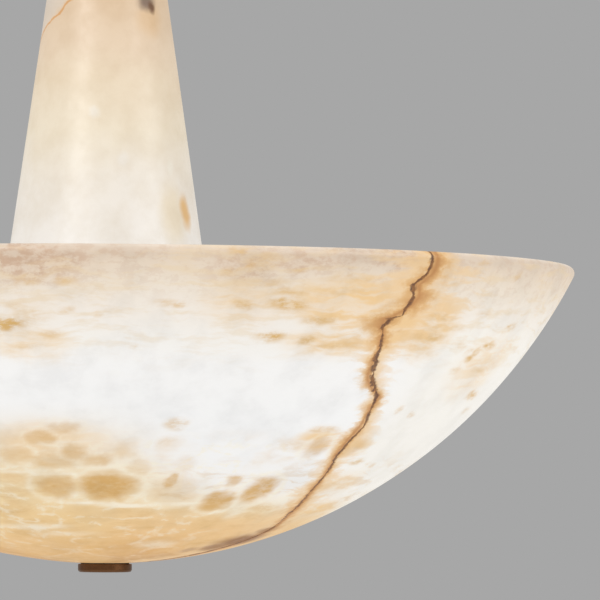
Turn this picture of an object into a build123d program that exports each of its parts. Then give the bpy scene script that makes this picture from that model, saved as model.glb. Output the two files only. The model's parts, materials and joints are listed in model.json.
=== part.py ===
from build123d import *
from math import cos, pi, radians, sin, sqrt, tan
import os

# Alabaster bowl pendant. The origin is the centre of the ceiling plane, +Z is up, sizes are in mm.

# ------------------------------------------------------------------ driving sizes

ceiling_to_rim = 640.0

# alabaster bowl: a cap of a sphere with a rounded lip
bowl_sphere_radius = 336.0
bowl_depth = 189.5
bowl_wall = 12.0
bowl_lip_round = 4.0
bowl_inner_round = 2.0

# alabaster stem: a hollow cone that runs down into the bowl
stem_above_rim = 300.0
stem_below_rim = 45.0
stem_base_radius = 70.2
stem_wall = 10.0
stem_tube_gap = 4.3
stem_edge_round = 1.0
stem_gasket_thickness = 1.5
stem_gasket_inset = 1.0

# slotted screw heads, as shares of a head's height, radius and height
head_round_share = 0.3
slot_width_share = 0.3
slot_depth_share = 0.4

# clearances
thread_gap = 0.05
running_gap = 0.05
slip_gap = 0.3

# support tube and rod
tube_radius = 6.5
tube_wall = 2.0
rod_wall = 1.5
rod_thread_length = 24.0
tube_nut_flats = 20.0
tube_nut_height = 5.0
tube_end_below_nut = 1.0
lock_washer_radius = 11.0
lock_washer_thickness = 1.0

# lead and its cores
lead_radius = 2.7
core_radius = 0.8
core_gap = 0.08
lead_past_tube = 2.0

# mounting bracket
box_screw_spacing = 88.9
box_slot_length = 12.0
box_slot_width = 4.6
bracket_width = 30.0
bracket_thickness = 2.5
bracket_drop = 36.0
bracket_bend = 2.0
bracket_margin = 4.0
nipple_above_nut = 2.0
nipple_in_hanger = 12.0

# terminal block and earth screw
block_length = 16.0
block_height = 14.0
block_below_ceiling = 5.0
pole_count = 3
pole_pitch = 8.0
block_side_margin = 1.0
block_edge_round = 1.0
core_clamp_depth = 4.5
supply_clamp_depth = 11.5
entry_radius = 1.6
entry_depth = 6.0
core_in_entry = 5.0
core_rise = 3.5
clamp_screw_radius = 1.9
clamp_screw_height = 4.0
clamp_screw_proud = 1.0
clamp_slot_width = 0.6
clamp_slot_depth = 0.6
fixing_screw_radius = 1.5
fixing_head_radius = 2.6
fixing_head_height = 1.8
earth_screw_radius = 2.0
earth_head_radius = 4.0
earth_head_height = 2.6
earth_washer_radius = 5.5
earth_washer_thickness = 1.0
earth_below_ceiling = 14.0
screw_tip = 1.5
thread_end_gap = 0.5
blind_hole_skin = 0.5

# canopy and its ring
canopy_radius = 65.0
canopy_depth = 60.0
canopy_wall = 1.5
canopy_corner_round = 12.0
ring_radius = 19.0
ring_height = 7.0
ring_edge_round = 1.2
ring_flutes = 36
ring_flute_radius = 0.9
ring_flute_depth = 0.54
canopy_travel = 8.0
thread_runout = 1.0

# hanger yoke, gimbal and rod yoke
yoke_radius = 13.0
yoke_neck = 2.0
collar_chamfer = 1.0
ear_thickness = 3.5
ear_width = 12.0
fork_depth = 13.0
pivot_pin_radius = 2.5
pin_recess = 0.4
pin_inset = 0.1
gimbal_gap = 0.3
gimbal_height = 8.0
gimbal_chamfer = 0.5
gimbal_lead_gap = 2.9
hanger_lead_gap = 2.8
rod_yoke_base = 16.0
rod_in_yoke = 11.0
rod_yoke_chamfer = 1.5

# cone cap
cap_skirt = 5.0
cap_wall = 3.0
cap_rim_height = 4.5
cap_height = 19.0
cap_neck_radius = 11.0
cap_gasket_thickness = 1.5
cap_edge_round = 1.0
cap_flare_rise = 0.12

# lamp plate
plate_margin = 6.0
plate_thickness = 2.0
plate_edge_round = 0.8

# lamp cluster
cluster_wall = 2.5
cluster_top = 3.0
cluster_depth = 46.0
cluster_corner_round = 2.0
cover_thickness = 4.0
post_radius = 5.0
post_count = 3
post_height = 18.0
post_in_wall = 0.5
post_hole_depth = 14.0
cluster_screw_radius = 2.0
cluster_head_radius = 3.8
cluster_head_height = 2.4
terminal_bore = 22.0
terminal_height = 24.0
terminal_round = 2.5
terminal_past_leads = 2.1
terminal_entry_depth = 18.0
terminal_side_gap = 1.0
terminal_screw_circle = 27.5

# lamp holders
side_lamp_count = 6
stem_lamp_count = 2
side_lamp_below_plate = 22.0
stem_lamp_circle = 30.0
holder_radius = 9.0
holder_height = 17.0
holder_flange = 3.0
holder_edge_round = 1.0
holder_screw_count = 2
holder_lead_radius = 0.9
holder_lead_offset = 2.5
holder_hole_margin = 1.0
head_margin = 0.2

# plug-in lamps
lamp_pin_radius = 0.75
lamp_pin_offset = 4.5
lamp_pin_length = 9.0
pin_gap = 0.1
pin_hole_spare = 1.0
lamp_pin_chamfer = 0.3
lamp_base_radius = 8.0
lamp_base_height = 9.0
lamp_neck_height = 3.0
lamp_base_round = 0.5
globe_wall = 1.0
globe_length = 37.0

# bowl fixing
stud_radius = 5.0
stud_nut_flats = 17.0
stud_nut_height = 7.0
stud_above_nut = 2.0
seat_washer_radius = 20.0
stop_washer_thickness = 2.5
inner_gasket_thickness = 2.0
outer_gasket_radius = 15.5
outer_gasket_thickness = 0.8
seat_margin = 2.0
sleeve_wall = 1.2
spigot_wall = 2.5
spigot_top_gap = 0.5
spigot_chamfer = 0.5
finial_radius = 17.25
finial_thickness = 5.2
finial_floor = 2.0
finial_lower_round = 1.8
finial_upper_round = 0.4
stud_end_gap = 0.6

# ------------------------------------------------------------------ levels and radii that follow

rim_z = -ceiling_to_rim
stem_top_z = rim_z + stem_above_rim
stem_base_z = rim_z - stem_below_rim
stem_top_radius = tube_radius + stem_tube_gap + stem_wall
tube_bore = tube_radius - tube_wall
rod_radius = tube_radius + thread_gap + rod_wall

bracket_top_z = -bracket_drop
bracket_low_z = bracket_top_z - bracket_thickness
bracket_leg_x = box_screw_spacing / 2 - box_slot_length / 2 - bracket_margin
bracket_inner_x = bracket_leg_x - bracket_thickness
bracket_end_x = box_screw_spacing / 2 + box_slot_length / 2 + bracket_margin
washer_top_z = bracket_top_z + lock_washer_thickness
nipple_top_z = washer_top_z + tube_nut_height + nipple_above_nut
hanger_top_z = bracket_low_z - tube_nut_height
nipple_low_z = hanger_top_z - nipple_in_hanger

block_top_z = -block_below_ceiling
block_low_z = block_top_z - block_height
block_face_x = -bracket_inner_x + block_length
block_width = pole_count * pole_pitch + 2 * block_side_margin
core_entry_z = block_top_z - block_height / 2

ring_top_z = -canopy_depth
ring_low_z = ring_top_z - ring_height
pivot_z = ring_low_z - canopy_travel - thread_runout - yoke_neck - fork_depth
gimbal_radius = yoke_radius - ear_thickness - gimbal_gap
gimbal_bore = lead_radius + gimbal_lead_gap
hanger_bore = lead_radius + hanger_lead_gap
rod_yoke_low_z = pivot_z - fork_depth - rod_yoke_base
rod_top_z = rod_yoke_low_z + rod_in_yoke

cap_top_z = stem_top_z + cap_gasket_thickness + cap_height
plate_radius = stem_base_radius + plate_margin
plate_top_z = stem_base_z - stem_gasket_thickness
plate_low_z = plate_top_z - plate_thickness
cluster_ceiling_z = plate_low_z - cluster_top
cover_top_z = plate_low_z - cluster_depth
cover_low_z = cover_top_z - cover_thickness
tube_low_z = cluster_ceiling_z - tube_nut_height - tube_end_below_nut
lead_low_z = tube_low_z - lead_past_tube

fixing_hole_radius = fixing_screw_radius + thread_gap
holder_hole_radius = holder_lead_offset + holder_lead_radius + holder_hole_margin
holder_screw_circle = holder_radius + fixing_head_radius + head_margin
holder_flange_radius = holder_screw_circle + fixing_head_radius + head_margin
terminal_flat = stem_lamp_circle + holder_lead_radius + terminal_past_leads
terminal_corner = terminal_flat + terminal_round
post_circle = terminal_corner + terminal_side_gap + post_radius
cluster_inner_flat = post_circle * cos(radians(30)) + post_radius - post_in_wall
cluster_flat = cluster_inner_flat + cluster_wall
terminal_low_z = cluster_ceiling_z - terminal_height
terminal_hole_depth = terminal_height + cluster_top - blind_hole_skin
terminal_entry_z = cluster_ceiling_z - terminal_entry_depth
side_lamp_z = plate_low_z - side_lamp_below_plate

bowl_low_z = rim_z - bowl_depth
bowl_centre_z = bowl_low_z + bowl_sphere_radius
bowl_cavity_radius = bowl_sphere_radius - bowl_wall
spigot_radius = stud_radius + thread_gap + spigot_wall
sleeve_bore = spigot_radius + slip_gap
bowl_hole_radius = sleeve_bore + sleeve_wall + running_gap


def seat_rise(sphere_radius, seat_radius):
    """Height at which a level seat of this radius cuts a sphere, above the sphere's lowest point."""
    return sphere_radius - sqrt(sphere_radius**2 - (seat_radius + seat_margin) ** 2)


outer_seat_z = bowl_low_z + seat_rise(bowl_sphere_radius, outer_gasket_radius)
inner_seat_z = bowl_low_z + bowl_wall + seat_rise(bowl_cavity_radius, seat_washer_radius)
stop_washer_z = inner_seat_z + inner_gasket_thickness
finial_top_z = outer_seat_z - outer_gasket_thickness
finial_low_z = finial_top_z - finial_thickness
stud_low_z = finial_low_z + finial_floor + stud_end_gap
spigot_top_z = stop_washer_z - spigot_top_gap
stud_top_z = cover_top_z + stud_nut_height + stud_above_nut

# ------------------------------------------------------------------ helpers

UPWARD = (Align.CENTER, Align.CENTER, Align.MIN)


def area(x_low, x_high, y_low, y_high):
    """A rectangle given by its sides."""
    return Pos((x_low + x_high) / 2, (y_low + y_high) / 2) * Rectangle(x_high - x_low, y_high - y_low)


def spin(profile):
    """Turns a profile of radius and height about the vertical axis."""
    return revolve(Plane.XZ * profile, Axis.Z)


def turned(*points):
    """A turned solid from its (radius, height) points."""
    return spin(make_face(Polyline(*points, close=True)))


def bar(radius, z_low, z_high):
    return Pos(0, 0, z_low) * Cylinder(radius, z_high - z_low, align=UPWARD)


def ring(outer_radius, inner_radius, z_low, z_high):
    return turned(
        (inner_radius, z_low),
        (outer_radius, z_low),
        (outer_radius, z_high),
        (inner_radius, z_high),
    )


def cross_bar(radius, x_low, x_high):
    """A round bar along X."""
    return Pos(x_low, 0, 0) * Rot(0, 90, 0) * Cylinder(radius, x_high - x_low, align=UPWARD)


def hexagon(apothem, z_low, z_high):
    """A six-sided prism whose flats face 0, 60, 120 degrees and so on."""
    outline = Rot(0, 0, 30) * RegularPolygon(apothem, 6, major_radius=False)
    return Pos(0, 0, z_low) * extrude(outline, z_high - z_low)


def hex_nut(across_flats, bore_radius, z_low, z_high):
    """A nut with its corners turned off at both ends."""
    corner = across_flats / 2 / cos(radians(30))
    turn_off = corner - across_flats / 2
    blank = turned(
        (0, z_low),
        (across_flats / 2, z_low),
        (corner, z_low + turn_off / 2),
        (corner, z_high - turn_off / 2),
        (across_flats / 2, z_high),
        (0, z_high),
    )
    return (hexagon(across_flats / 2, z_low, z_high) & blank) - bar(bore_radius, z_low, z_high)


def pan_screw(radius, length, head_radius, head_height):
    """A slotted screw that points down from the origin, with its head above it."""
    head = bar(head_radius, 0, head_height)
    head = fillet(head.edges().group_by(Axis.Z)[-1], head_round_share * head_height)
    slot_width = slot_width_share * head_radius
    slot = Pos(0, 0, head_height) * Box(2 * head_radius, slot_width, 2 * slot_depth_share * head_height)
    return head - slot + bar(radius, -length, 0)


def around(count, start=0.0):
    """Turns about the vertical axis, evenly spaced."""
    return [Rot(0, 0, start + 360 * k / count) for k in range(count)]


def bend_radii(points):
    """For each corner of a route, the radius that 0.45 of its shorter run allows."""
    radii = []
    for before, corner, after in zip(points, points[1:], points[2:]):
        run_in = Vector(corner) - Vector(before)
        run_out = Vector(after) - Vector(corner)
        turn = radians(run_in.get_angle(run_out))
        radii.append(0.45 * min(run_in.length, run_out.length) / tan(turn / 2))
    return radii


def wire(points, radius):
    """A round wire along straight runs joined by arcs."""
    radii = bend_radii(points)
    route = FilletPolyline(*points, radius=radii)
    made = sweep(Plane(origin=route @ 0, z_dir=route % 0) * Circle(radius), path=route)
    share = made.volume / (pi * radius**2 * route.length)
    print("wire radii", [round(r, 1) for r in radii], "volume share", round(share, 4))
    return made


def core_starts():
    """Where three cores lie in a round lead: each touches the other two but for a small gap."""
    offset = (core_radius + core_gap) / cos(radians(30))
    return [(angle, offset * cos(radians(angle)), offset * sin(radians(angle))) for angle in (30, 150, 270)]


def save(node, *solids):
    """Writes one node, as a single solid or as a group of separate ones."""
    shape = solids[0] if len(solids) == 1 else Compound([solid for made in solids for solid in made.solids()])
    export_step(shape, f"parts/{node}.step")


# ------------------------------------------------------------------ ceiling end


def make_bracket():
    """A strap bent into a bridge: two slotted feet on the ceiling and a plate that carries the hanger."""
    half = [
        (bracket_end_x, -bracket_thickness),
        (bracket_end_x, 0),
        (bracket_inner_x, 0),
        (bracket_inner_x, bracket_top_z),
    ]
    lower = [(bracket_leg_x, bracket_low_z), (bracket_leg_x, -bracket_thickness)]
    other_half = [(-x, z) for x, z in reversed(half)]
    other_lower = [(-x, z) for x, z in reversed(lower)]
    outline = make_face(Polyline(*half, *other_half, *other_lower, *lower, close=True))
    inside = [(bracket_inner_x, bracket_top_z), (bracket_leg_x, -bracket_thickness)]
    outside = [(bracket_inner_x, 0), (bracket_leg_x, bracket_low_z)]
    for corners, radius in ((inside, bracket_bend), (outside, bracket_bend + bracket_thickness)):
        picked = [v for v in outline.vertices() if (round(abs(v.X), 3), round(v.Y, 3)) in rounded(corners)]
        outline = fillet(picked, radius)
    strap = extrude(Plane.XZ * outline, bracket_width / 2, both=True)
    slot = extrude(SlotOverall(box_slot_length, box_slot_width), 2 * bracket_thickness, both=True)
    for side in (-1, 1):
        strap -= Pos(side * box_screw_spacing / 2, 0, 0) * slot
    strap -= bar(tube_radius + slip_gap, bracket_low_z, bracket_top_z)
    for spot in block_screw_spots():
        strap -= spot * bar(fixing_hole_radius, -block_length - bracket_thickness, 0)
    strap -= earth_spot() * bar(earth_screw_radius + thread_gap, -bracket_thickness - screw_tip, 0)
    return strap


def rounded(points):
    return [(round(x, 3), round(y, 3)) for x, y in points]


def block_screw_spots():
    """The heads of the two screws that hold the terminal block, facing +X between its poles."""
    return [
        Pos(block_face_x, side * pole_pitch / 2, core_entry_z) * Rot(0, 90, 0) for side in (-1, 1)
    ]


def earth_spot():
    """The seat of the earth washer, facing -X on the other leg of the bracket."""
    return Pos(bracket_inner_x, 0, -earth_below_ceiling) * Rot(0, -90, 0)


def pole_offsets():
    return [(k - (pole_count - 1) / 2) * pole_pitch for k in range(pole_count)]


def clamp_screw_spots():
    """Two rows of clamp screws that face down, one for the cores and one for the supply."""
    rows = [block_face_x - core_clamp_depth, block_face_x - supply_clamp_depth]
    return [Pos(x, y, block_low_z) * Rot(180, 0, 0) for x in rows for y in pole_offsets()]


def make_terminal_block():
    """Cores enter at the front, supply wires at the top, and the clamp screws face down."""
    body = Box(block_length, block_width, block_height)
    body = Pos(block_face_x - block_length / 2, 0, core_entry_z) * body
    body = fillet(body.edges().filter_by(Axis.X), block_edge_round)
    for y in pole_offsets():
        body -= Pos(block_face_x, y, core_entry_z) * cross_bar(entry_radius, -entry_depth, 0)
        supply_entry = bar(entry_radius, block_top_z - entry_depth, block_top_z)
        body -= Pos(block_face_x - supply_clamp_depth, y, 0) * supply_entry
    sunk = clamp_screw_height - clamp_screw_proud
    for spot in clamp_screw_spots():
        body -= spot * bar(clamp_screw_radius + thread_gap, -sunk, 0)
    for spot in block_screw_spots():
        body -= spot * bar(fixing_hole_radius, -block_length, 0)
    return body


def make_clamp_screws():
    screw = bar(clamp_screw_radius, clamp_screw_proud - clamp_screw_height, clamp_screw_proud)
    slot = Box(2 * clamp_screw_radius, clamp_slot_width, 2 * clamp_slot_depth)
    screw -= Pos(0, 0, clamp_screw_proud) * slot
    return [spot * screw for spot in clamp_screw_spots()]


def make_canopy_cores():
    """The lead's cores, which fan out from the end of its sheath and turn into the terminal block."""
    start_z = nipple_top_z + lead_past_tube
    cores = []
    for (_, x, y), pole_y in zip(core_starts(), sorted(pole_offsets(), reverse=True)):
        route = [
            (x, y, start_z),
            (x, y, start_z + core_rise),
            (0, pole_y, core_entry_z),
            (block_face_x - core_in_entry, pole_y, core_entry_z),
        ]
        cores.append(wire(route, core_radius))
    return cores


def make_fork(base_height):
    """A fork with its pivot at the origin, its pins along X and its round base above."""
    ear = area(-ear_width / 2, ear_width / 2, 0, fork_depth) + Circle(ear_width / 2)
    ears = extrude(Plane.YZ * ear, yoke_radius, both=True) & Cylinder(yoke_radius, 4 * fork_depth)
    ears -= Box(2 * (yoke_radius - ear_thickness), 2 * yoke_radius, 4 * fork_depth)
    ears -= cross_bar(pivot_pin_radius + running_gap, -yoke_radius, yoke_radius)
    return ears + bar(yoke_radius, fork_depth, fork_depth + base_height)


def make_hanger_yoke():
    """A round collar that carries the canopy ring, screwed to the nipple above, with a fork below."""
    yoke = Pos(0, 0, pivot_z) * make_fork(hanger_top_z - pivot_z - fork_depth)
    yoke -= bar(hanger_bore, pivot_z, hanger_top_z)
    yoke -= bar(tube_radius + thread_gap, nipple_low_z, hanger_top_z)
    return chamfer(yoke.edges().group_by(Axis.Z)[-1].sort_by(SortBy.LENGTH)[-1], collar_chamfer)


def make_rod_yoke():
    """The fork at the head of the rod, turned a quarter against the hanger's."""
    yoke = Pos(0, 0, pivot_z) * Rot(180, 0, 90) * make_fork(rod_yoke_base)
    yoke -= bar(tube_bore, rod_yoke_low_z, pivot_z - fork_depth)
    yoke -= bar(rod_radius + thread_gap, rod_yoke_low_z, rod_top_z)
    return chamfer(yoke.edges().group_by(Axis.Z)[0].sort_by(SortBy.LENGTH)[-1], rod_yoke_chamfer)


def make_gimbal():
    """The ring between the two forks and the four pins pressed into it."""
    body = ring(gimbal_radius, gimbal_bore, -gimbal_height / 2, gimbal_height / 2)
    body = chamfer(body.edges().group_by(SortBy.LENGTH)[-1], gimbal_chamfer)
    pin = cross_bar(pivot_pin_radius, gimbal_bore + pin_inset, yoke_radius - pin_recess)
    pins = [turn * pin for turn in around(4)]
    for made in pins:
        body -= made
    return Pos(0, 0, pivot_z) * body, [Pos(0, 0, pivot_z) * made for made in pins]


def make_canopy():
    """A spun cup with its mouth on the ceiling and a hole for the hanger's collar."""
    outer = area(0, canopy_radius, -canopy_depth, 0)
    outer = fillet(outer.vertices().group_by(Axis.Y)[0].sort_by(Axis.X)[-1:], canopy_corner_round)
    inner = area(0, canopy_radius - canopy_wall, canopy_wall - canopy_depth, 0)
    corner = inner.vertices().group_by(Axis.Y)[0].sort_by(Axis.X)[-1:]
    inner = fillet(corner, canopy_corner_round - canopy_wall)
    hole = area(0, yoke_radius + slip_gap, -canopy_depth, 0)
    return spin(outer - inner - hole)


def make_canopy_ring():
    """The fluted ring that screws up the collar and holds the canopy."""
    body = bar(ring_radius, ring_low_z, ring_top_z)
    body = fillet(body.edges().filter_by(GeomType.CIRCLE), ring_edge_round)
    flute_circle = ring_radius + ring_flute_radius - ring_flute_depth
    flute = Pos(flute_circle, 0, 0) * bar(ring_flute_radius, ring_low_z, ring_top_z)
    for turn in around(ring_flutes):
        body -= turn * flute
    return body - bar(yoke_radius + running_gap, ring_low_z, ring_top_z)


# ------------------------------------------------------------------ rod and stem


def make_stem_lead():
    """The lead from the pivot, where it ends in a ball, down to the cluster."""
    return bar(lead_radius, lead_low_z, pivot_z) + Pos(0, 0, pivot_z) * Sphere(lead_radius)


def make_cone_cap():
    """A turned cap with a short skirt round the stem's top and a neck under the rod."""
    slope = (stem_base_radius - stem_top_radius) / (stem_above_rim + stem_below_rim)
    skirt_inside = stem_top_radius + slope * cap_skirt + slip_gap
    skirt_outside = skirt_inside + cap_wall
    underside_z = stem_top_z + cap_gasket_thickness
    skirt_z = stem_top_z - cap_skirt
    shoulder_z = underside_z + cap_rim_height
    bore = tube_radius + thread_gap
    flare = Spline(
        (skirt_outside, shoulder_z),
        (cap_neck_radius, cap_top_z),
        tangents=[(-1, cap_flare_rise), (0, 1)],
    )
    rest = Polyline(
        (cap_neck_radius, cap_top_z),
        (bore, cap_top_z),
        (bore, underside_z),
        (skirt_inside, underside_z),
        (skirt_inside, skirt_z),
        (skirt_outside, skirt_z),
        (skirt_outside, shoulder_z),
    )
    cap = spin(make_face([*flare.edges(), *rest.edges()]))
    rim = cap.edges().filter_by(GeomType.CIRCLE).filter_by(lambda e: abs(e.radius - skirt_outside) < 0.01)
    return fillet(rim, cap_edge_round)


def make_alabaster_stem():
    profile = make_face(
        Polyline(
            (stem_base_radius - stem_wall, stem_base_z),
            (stem_base_radius, stem_base_z),
            (stem_top_radius, stem_top_z),
            (stem_top_radius - stem_wall, stem_top_z),
            close=True,
        )
    )
    return spin(fillet(profile.vertices(), stem_edge_round))


# ------------------------------------------------------------------ lamp cluster


def side_holder_spots():
    """The seats of the side lamp holders on the cluster's flats, facing outward."""
    return [
        turn * Pos(cluster_flat, 0, side_lamp_z) * Rot(0, 90, 0) for turn in around(side_lamp_count)
    ]


def stem_holder_spots():
    """The seats of the upright lamp holders on the lamp plate, facing up."""
    return [turn * Pos(stem_lamp_circle, 0, plate_top_z) for turn in around(stem_lamp_count)]


def holder_screw_offsets():
    return [turn * Pos(0, holder_screw_circle, holder_flange) for turn in around(holder_screw_count)]


def make_holder():
    """A ceramic lamp holder that stands on the origin: a screwed flange and a body with two pin holes."""
    body = bar(holder_flange_radius, 0, holder_flange) + bar(holder_radius, 0, holder_height)
    body = fillet(body.edges().group_by(Axis.Z)[-1], holder_edge_round)
    for spot in holder_screw_offsets():
        body -= spot * bar(fixing_hole_radius, -holder_flange, 0)
    for side in (-1, 1):
        pin_hole_low = holder_height - lamp_pin_length - pin_hole_spare
        pin_hole = bar(lamp_pin_radius + pin_gap, pin_hole_low, holder_height)
        body -= Pos(0, side * lamp_pin_offset, 0) * pin_hole
    return body


def make_lamp_plate():
    plate = bar(plate_radius, plate_low_z, plate_top_z)
    plate = fillet(plate.edges().group_by(Axis.Z)[-1], plate_edge_round)
    plate -= bar(tube_radius + thread_gap, plate_low_z, plate_top_z)
    for spot in stem_holder_spots():
        plate -= spot * bar(holder_hole_radius, -plate_thickness, 0)
        for offset in holder_screw_offsets():
            plate -= spot * offset * bar(fixing_hole_radius, -holder_flange - plate_thickness, 0)
    return plate


def cluster_post_spots():
    return [turn * Pos(post_circle, 0, 0) for turn in around(post_count, start=30)]


def make_cluster_body():
    """A six-sided box, open below, with a thick top and three posts for the cover's screws."""
    body = hexagon(cluster_flat, cover_top_z, plate_low_z)
    body = fillet(body.edges().filter_by(Axis.Z), cluster_corner_round)
    body -= hexagon(cluster_inner_flat, cover_top_z, cluster_ceiling_z)
    body -= bar(tube_radius + thread_gap, cluster_ceiling_z, plate_low_z)
    for spot in cluster_post_spots():
        body += spot * bar(post_radius, cover_top_z, cover_top_z + post_height)
        body -= spot * bar(cluster_screw_radius + thread_gap, cover_top_z, cover_top_z + post_hole_depth)
    for spot in side_holder_spots():
        body -= spot * bar(holder_hole_radius, -cluster_wall, 0)
        for offset in holder_screw_offsets():
            body -= spot * offset * bar(fixing_hole_radius, -holder_flange - cluster_wall, 0)
    top_reach = plate_top_z - cluster_ceiling_z
    for spot in stem_holder_spots():
        body -= spot * bar(holder_hole_radius, -top_reach, 0)
        for offset in holder_screw_offsets():
            body -= spot * offset * bar(fixing_hole_radius, -holder_flange - top_reach, 0)
    for spot in terminal_screw_spots():
        body -= spot * bar(fixing_hole_radius, -terminal_hole_depth, 0)
    return body


def make_cluster_cover():
    """The plate that closes the cluster and carries the bowl's stud."""
    cover = hexagon(cluster_flat, cover_low_z, cover_top_z)
    cover = fillet(cover.edges().filter_by(Axis.Z), cluster_corner_round)
    cover -= bar(stud_radius + thread_gap, cover_low_z, cover_top_z)
    for spot in cluster_post_spots():
        cover -= spot * bar(cluster_screw_radius + thread_gap, cover_low_z, cover_top_z)
    return cover


def make_cluster_screws():
    length = cover_thickness + post_hole_depth - thread_end_gap
    screw = pan_screw(cluster_screw_radius, length, cluster_head_radius, cluster_head_height)
    return [spot * Pos(0, 0, cover_low_z) * Rot(180, 0, 0) * screw for spot in cluster_post_spots()]


def terminal_screw_spots():
    """Screw heads under the terminal ring, halfway between the entries of its cores."""
    return [
        turn * Pos(terminal_screw_circle, 0, terminal_low_z) * Rot(180, 0, 0) for turn in around(3, start=90)
    ]


def make_terminal_ring():
    """A ring of terminals with a flat for each side holder, bored for the three cores and its screws."""
    body = hexagon(terminal_flat, terminal_low_z, cluster_ceiling_z) & bar(
        terminal_corner, terminal_low_z, cluster_ceiling_z
    )
    body -= bar(terminal_bore, terminal_low_z, cluster_ceiling_z)
    for angle, _, _ in core_starts():
        hole = cross_bar(entry_radius, 0, terminal_bore + entry_depth)
        body -= Rot(0, 0, angle) * Pos(0, 0, terminal_entry_z) * hole
    for spot in terminal_screw_spots():
        body -= spot * bar(fixing_hole_radius, -terminal_height, 0)
    return body


def make_stem_cores():
    """The cores at the foot of the stem lead, each of which turns outward into the terminal ring."""
    cores = []
    for angle, x, y in core_starts():
        reach = terminal_bore + core_in_entry
        end = (reach * cos(radians(angle)), reach * sin(radians(angle)), terminal_entry_z)
        cores.append(wire([(x, y, lead_low_z), (x, y, terminal_entry_z), end], core_radius))
    return cores


def holder_leads(length):
    """The two leads behind a holder, straight down from the origin."""
    return [Pos(0, side * holder_lead_offset, 0) * bar(holder_lead_radius, -length, 0) for side in (-1, 1)]


def make_holder_leads():
    side_length = cluster_flat - terminal_flat
    stem_length = plate_top_z - cluster_ceiling_z
    side = [spot * lead for spot in side_holder_spots() for lead in holder_leads(side_length)]
    upright = [spot * lead for spot in stem_holder_spots() for lead in holder_leads(stem_length)]
    return side + upright


def make_holder_screws():
    side_length = holder_flange + cluster_wall + screw_tip
    stem_length = holder_flange + plate_thickness + cluster_top - thread_end_gap
    made = []
    for spots, length in ((side_holder_spots(), side_length), (stem_holder_spots(), stem_length)):
        screw = pan_screw(fixing_screw_radius, length, fixing_head_radius, fixing_head_height)
        made += [spot * offset * screw for spot in spots for offset in holder_screw_offsets()]
    return made


# ------------------------------------------------------------------ plug-in lamps


def capsule(radius, z_low, z_top):
    """Half the outline of a tube that ends in a dome."""
    dome_z = z_top - radius
    dome = Pos(0, dome_z) * Circle(radius) & area(0, radius, dome_z, z_top)
    return area(0, radius, z_low, dome_z) + dome


def make_lamp_base():
    """A lamp's base, which stands on the origin with its pins below and a neck for the globe."""
    body = bar(lamp_base_radius, 0, lamp_base_height)
    body = fillet(body.edges().group_by(Axis.Z)[0], lamp_base_round)
    globe_bore = lamp_base_radius - globe_wall
    body += bar(globe_bore - thread_gap, lamp_base_height, lamp_base_height + lamp_neck_height)
    for side in (-1, 1):
        pin = bar(lamp_pin_radius, -lamp_pin_length, 0)
        pin = chamfer(pin.edges().group_by(Axis.Z)[0], lamp_pin_chamfer)
        body += Pos(0, side * lamp_pin_offset, 0) * pin
    return body


def make_globe():
    top_z = lamp_base_height + globe_length
    outer = capsule(lamp_base_radius, lamp_base_height, top_z)
    return spin(outer - capsule(lamp_base_radius - globe_wall, lamp_base_height, top_z - globe_wall))


def save_lamps(family, spots):
    for number, spot in enumerate(spots, start=1):
        seat = spot * Pos(0, 0, holder_height)
        save(f"{family}_lamp_{number}_base", seat * make_lamp_base())
        save(f"{family}_lamp_{number}_globe", seat * make_globe())


# ------------------------------------------------------------------ bowl and its fixing


def make_bowl():
    """The bowl's section, with level seats round its hole, inside and out."""
    outer = Pos(0, bowl_centre_z) * Circle(bowl_sphere_radius)
    inner = Pos(0, bowl_centre_z) * Circle(bowl_cavity_radius)
    stone = outer & area(0, bowl_sphere_radius, outer_seat_z, rim_z)
    hollow = inner & area(0, bowl_sphere_radius, inner_seat_z, rim_z)
    section = stone - hollow - area(0, bowl_hole_radius, bowl_low_z, rim_z)
    lip = section.vertices().group_by(Axis.Y)[-1].sort_by(Axis.X)
    section = fillet(lip[-1:], bowl_lip_round)
    lip = section.vertices().group_by(Axis.Y)[-1].sort_by(Axis.X)
    return spin(fillet(lip[:1], bowl_inner_round))


def make_finial():
    """A flat disc with a threaded spigot that reaches up through the bowl to the stud."""
    disc = bar(finial_radius, finial_low_z, finial_top_z)
    disc = fillet(disc.edges().group_by(Axis.Z)[0], finial_lower_round)
    disc = fillet(disc.edges().group_by(Axis.Z)[-1], finial_upper_round)
    spigot = bar(spigot_radius, finial_top_z, spigot_top_z)
    spigot = chamfer(spigot.edges().group_by(Axis.Z)[-1], spigot_chamfer)
    return disc + spigot - bar(stud_radius + thread_gap, finial_low_z + finial_floor, spigot_top_z)


# ------------------------------------------------------------------ the assembly

os.makedirs("parts", exist_ok=True)

nut_bore = tube_radius + thread_gap
stud_bore = stud_radius + thread_gap
block_fixing = pan_screw(
    fixing_screw_radius, block_length + bracket_thickness, fixing_head_radius, fixing_head_height
)
earth_fixing = pan_screw(
    earth_screw_radius,
    earth_washer_thickness + bracket_thickness + screw_tip,
    earth_head_radius,
    earth_head_height,
)

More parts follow.
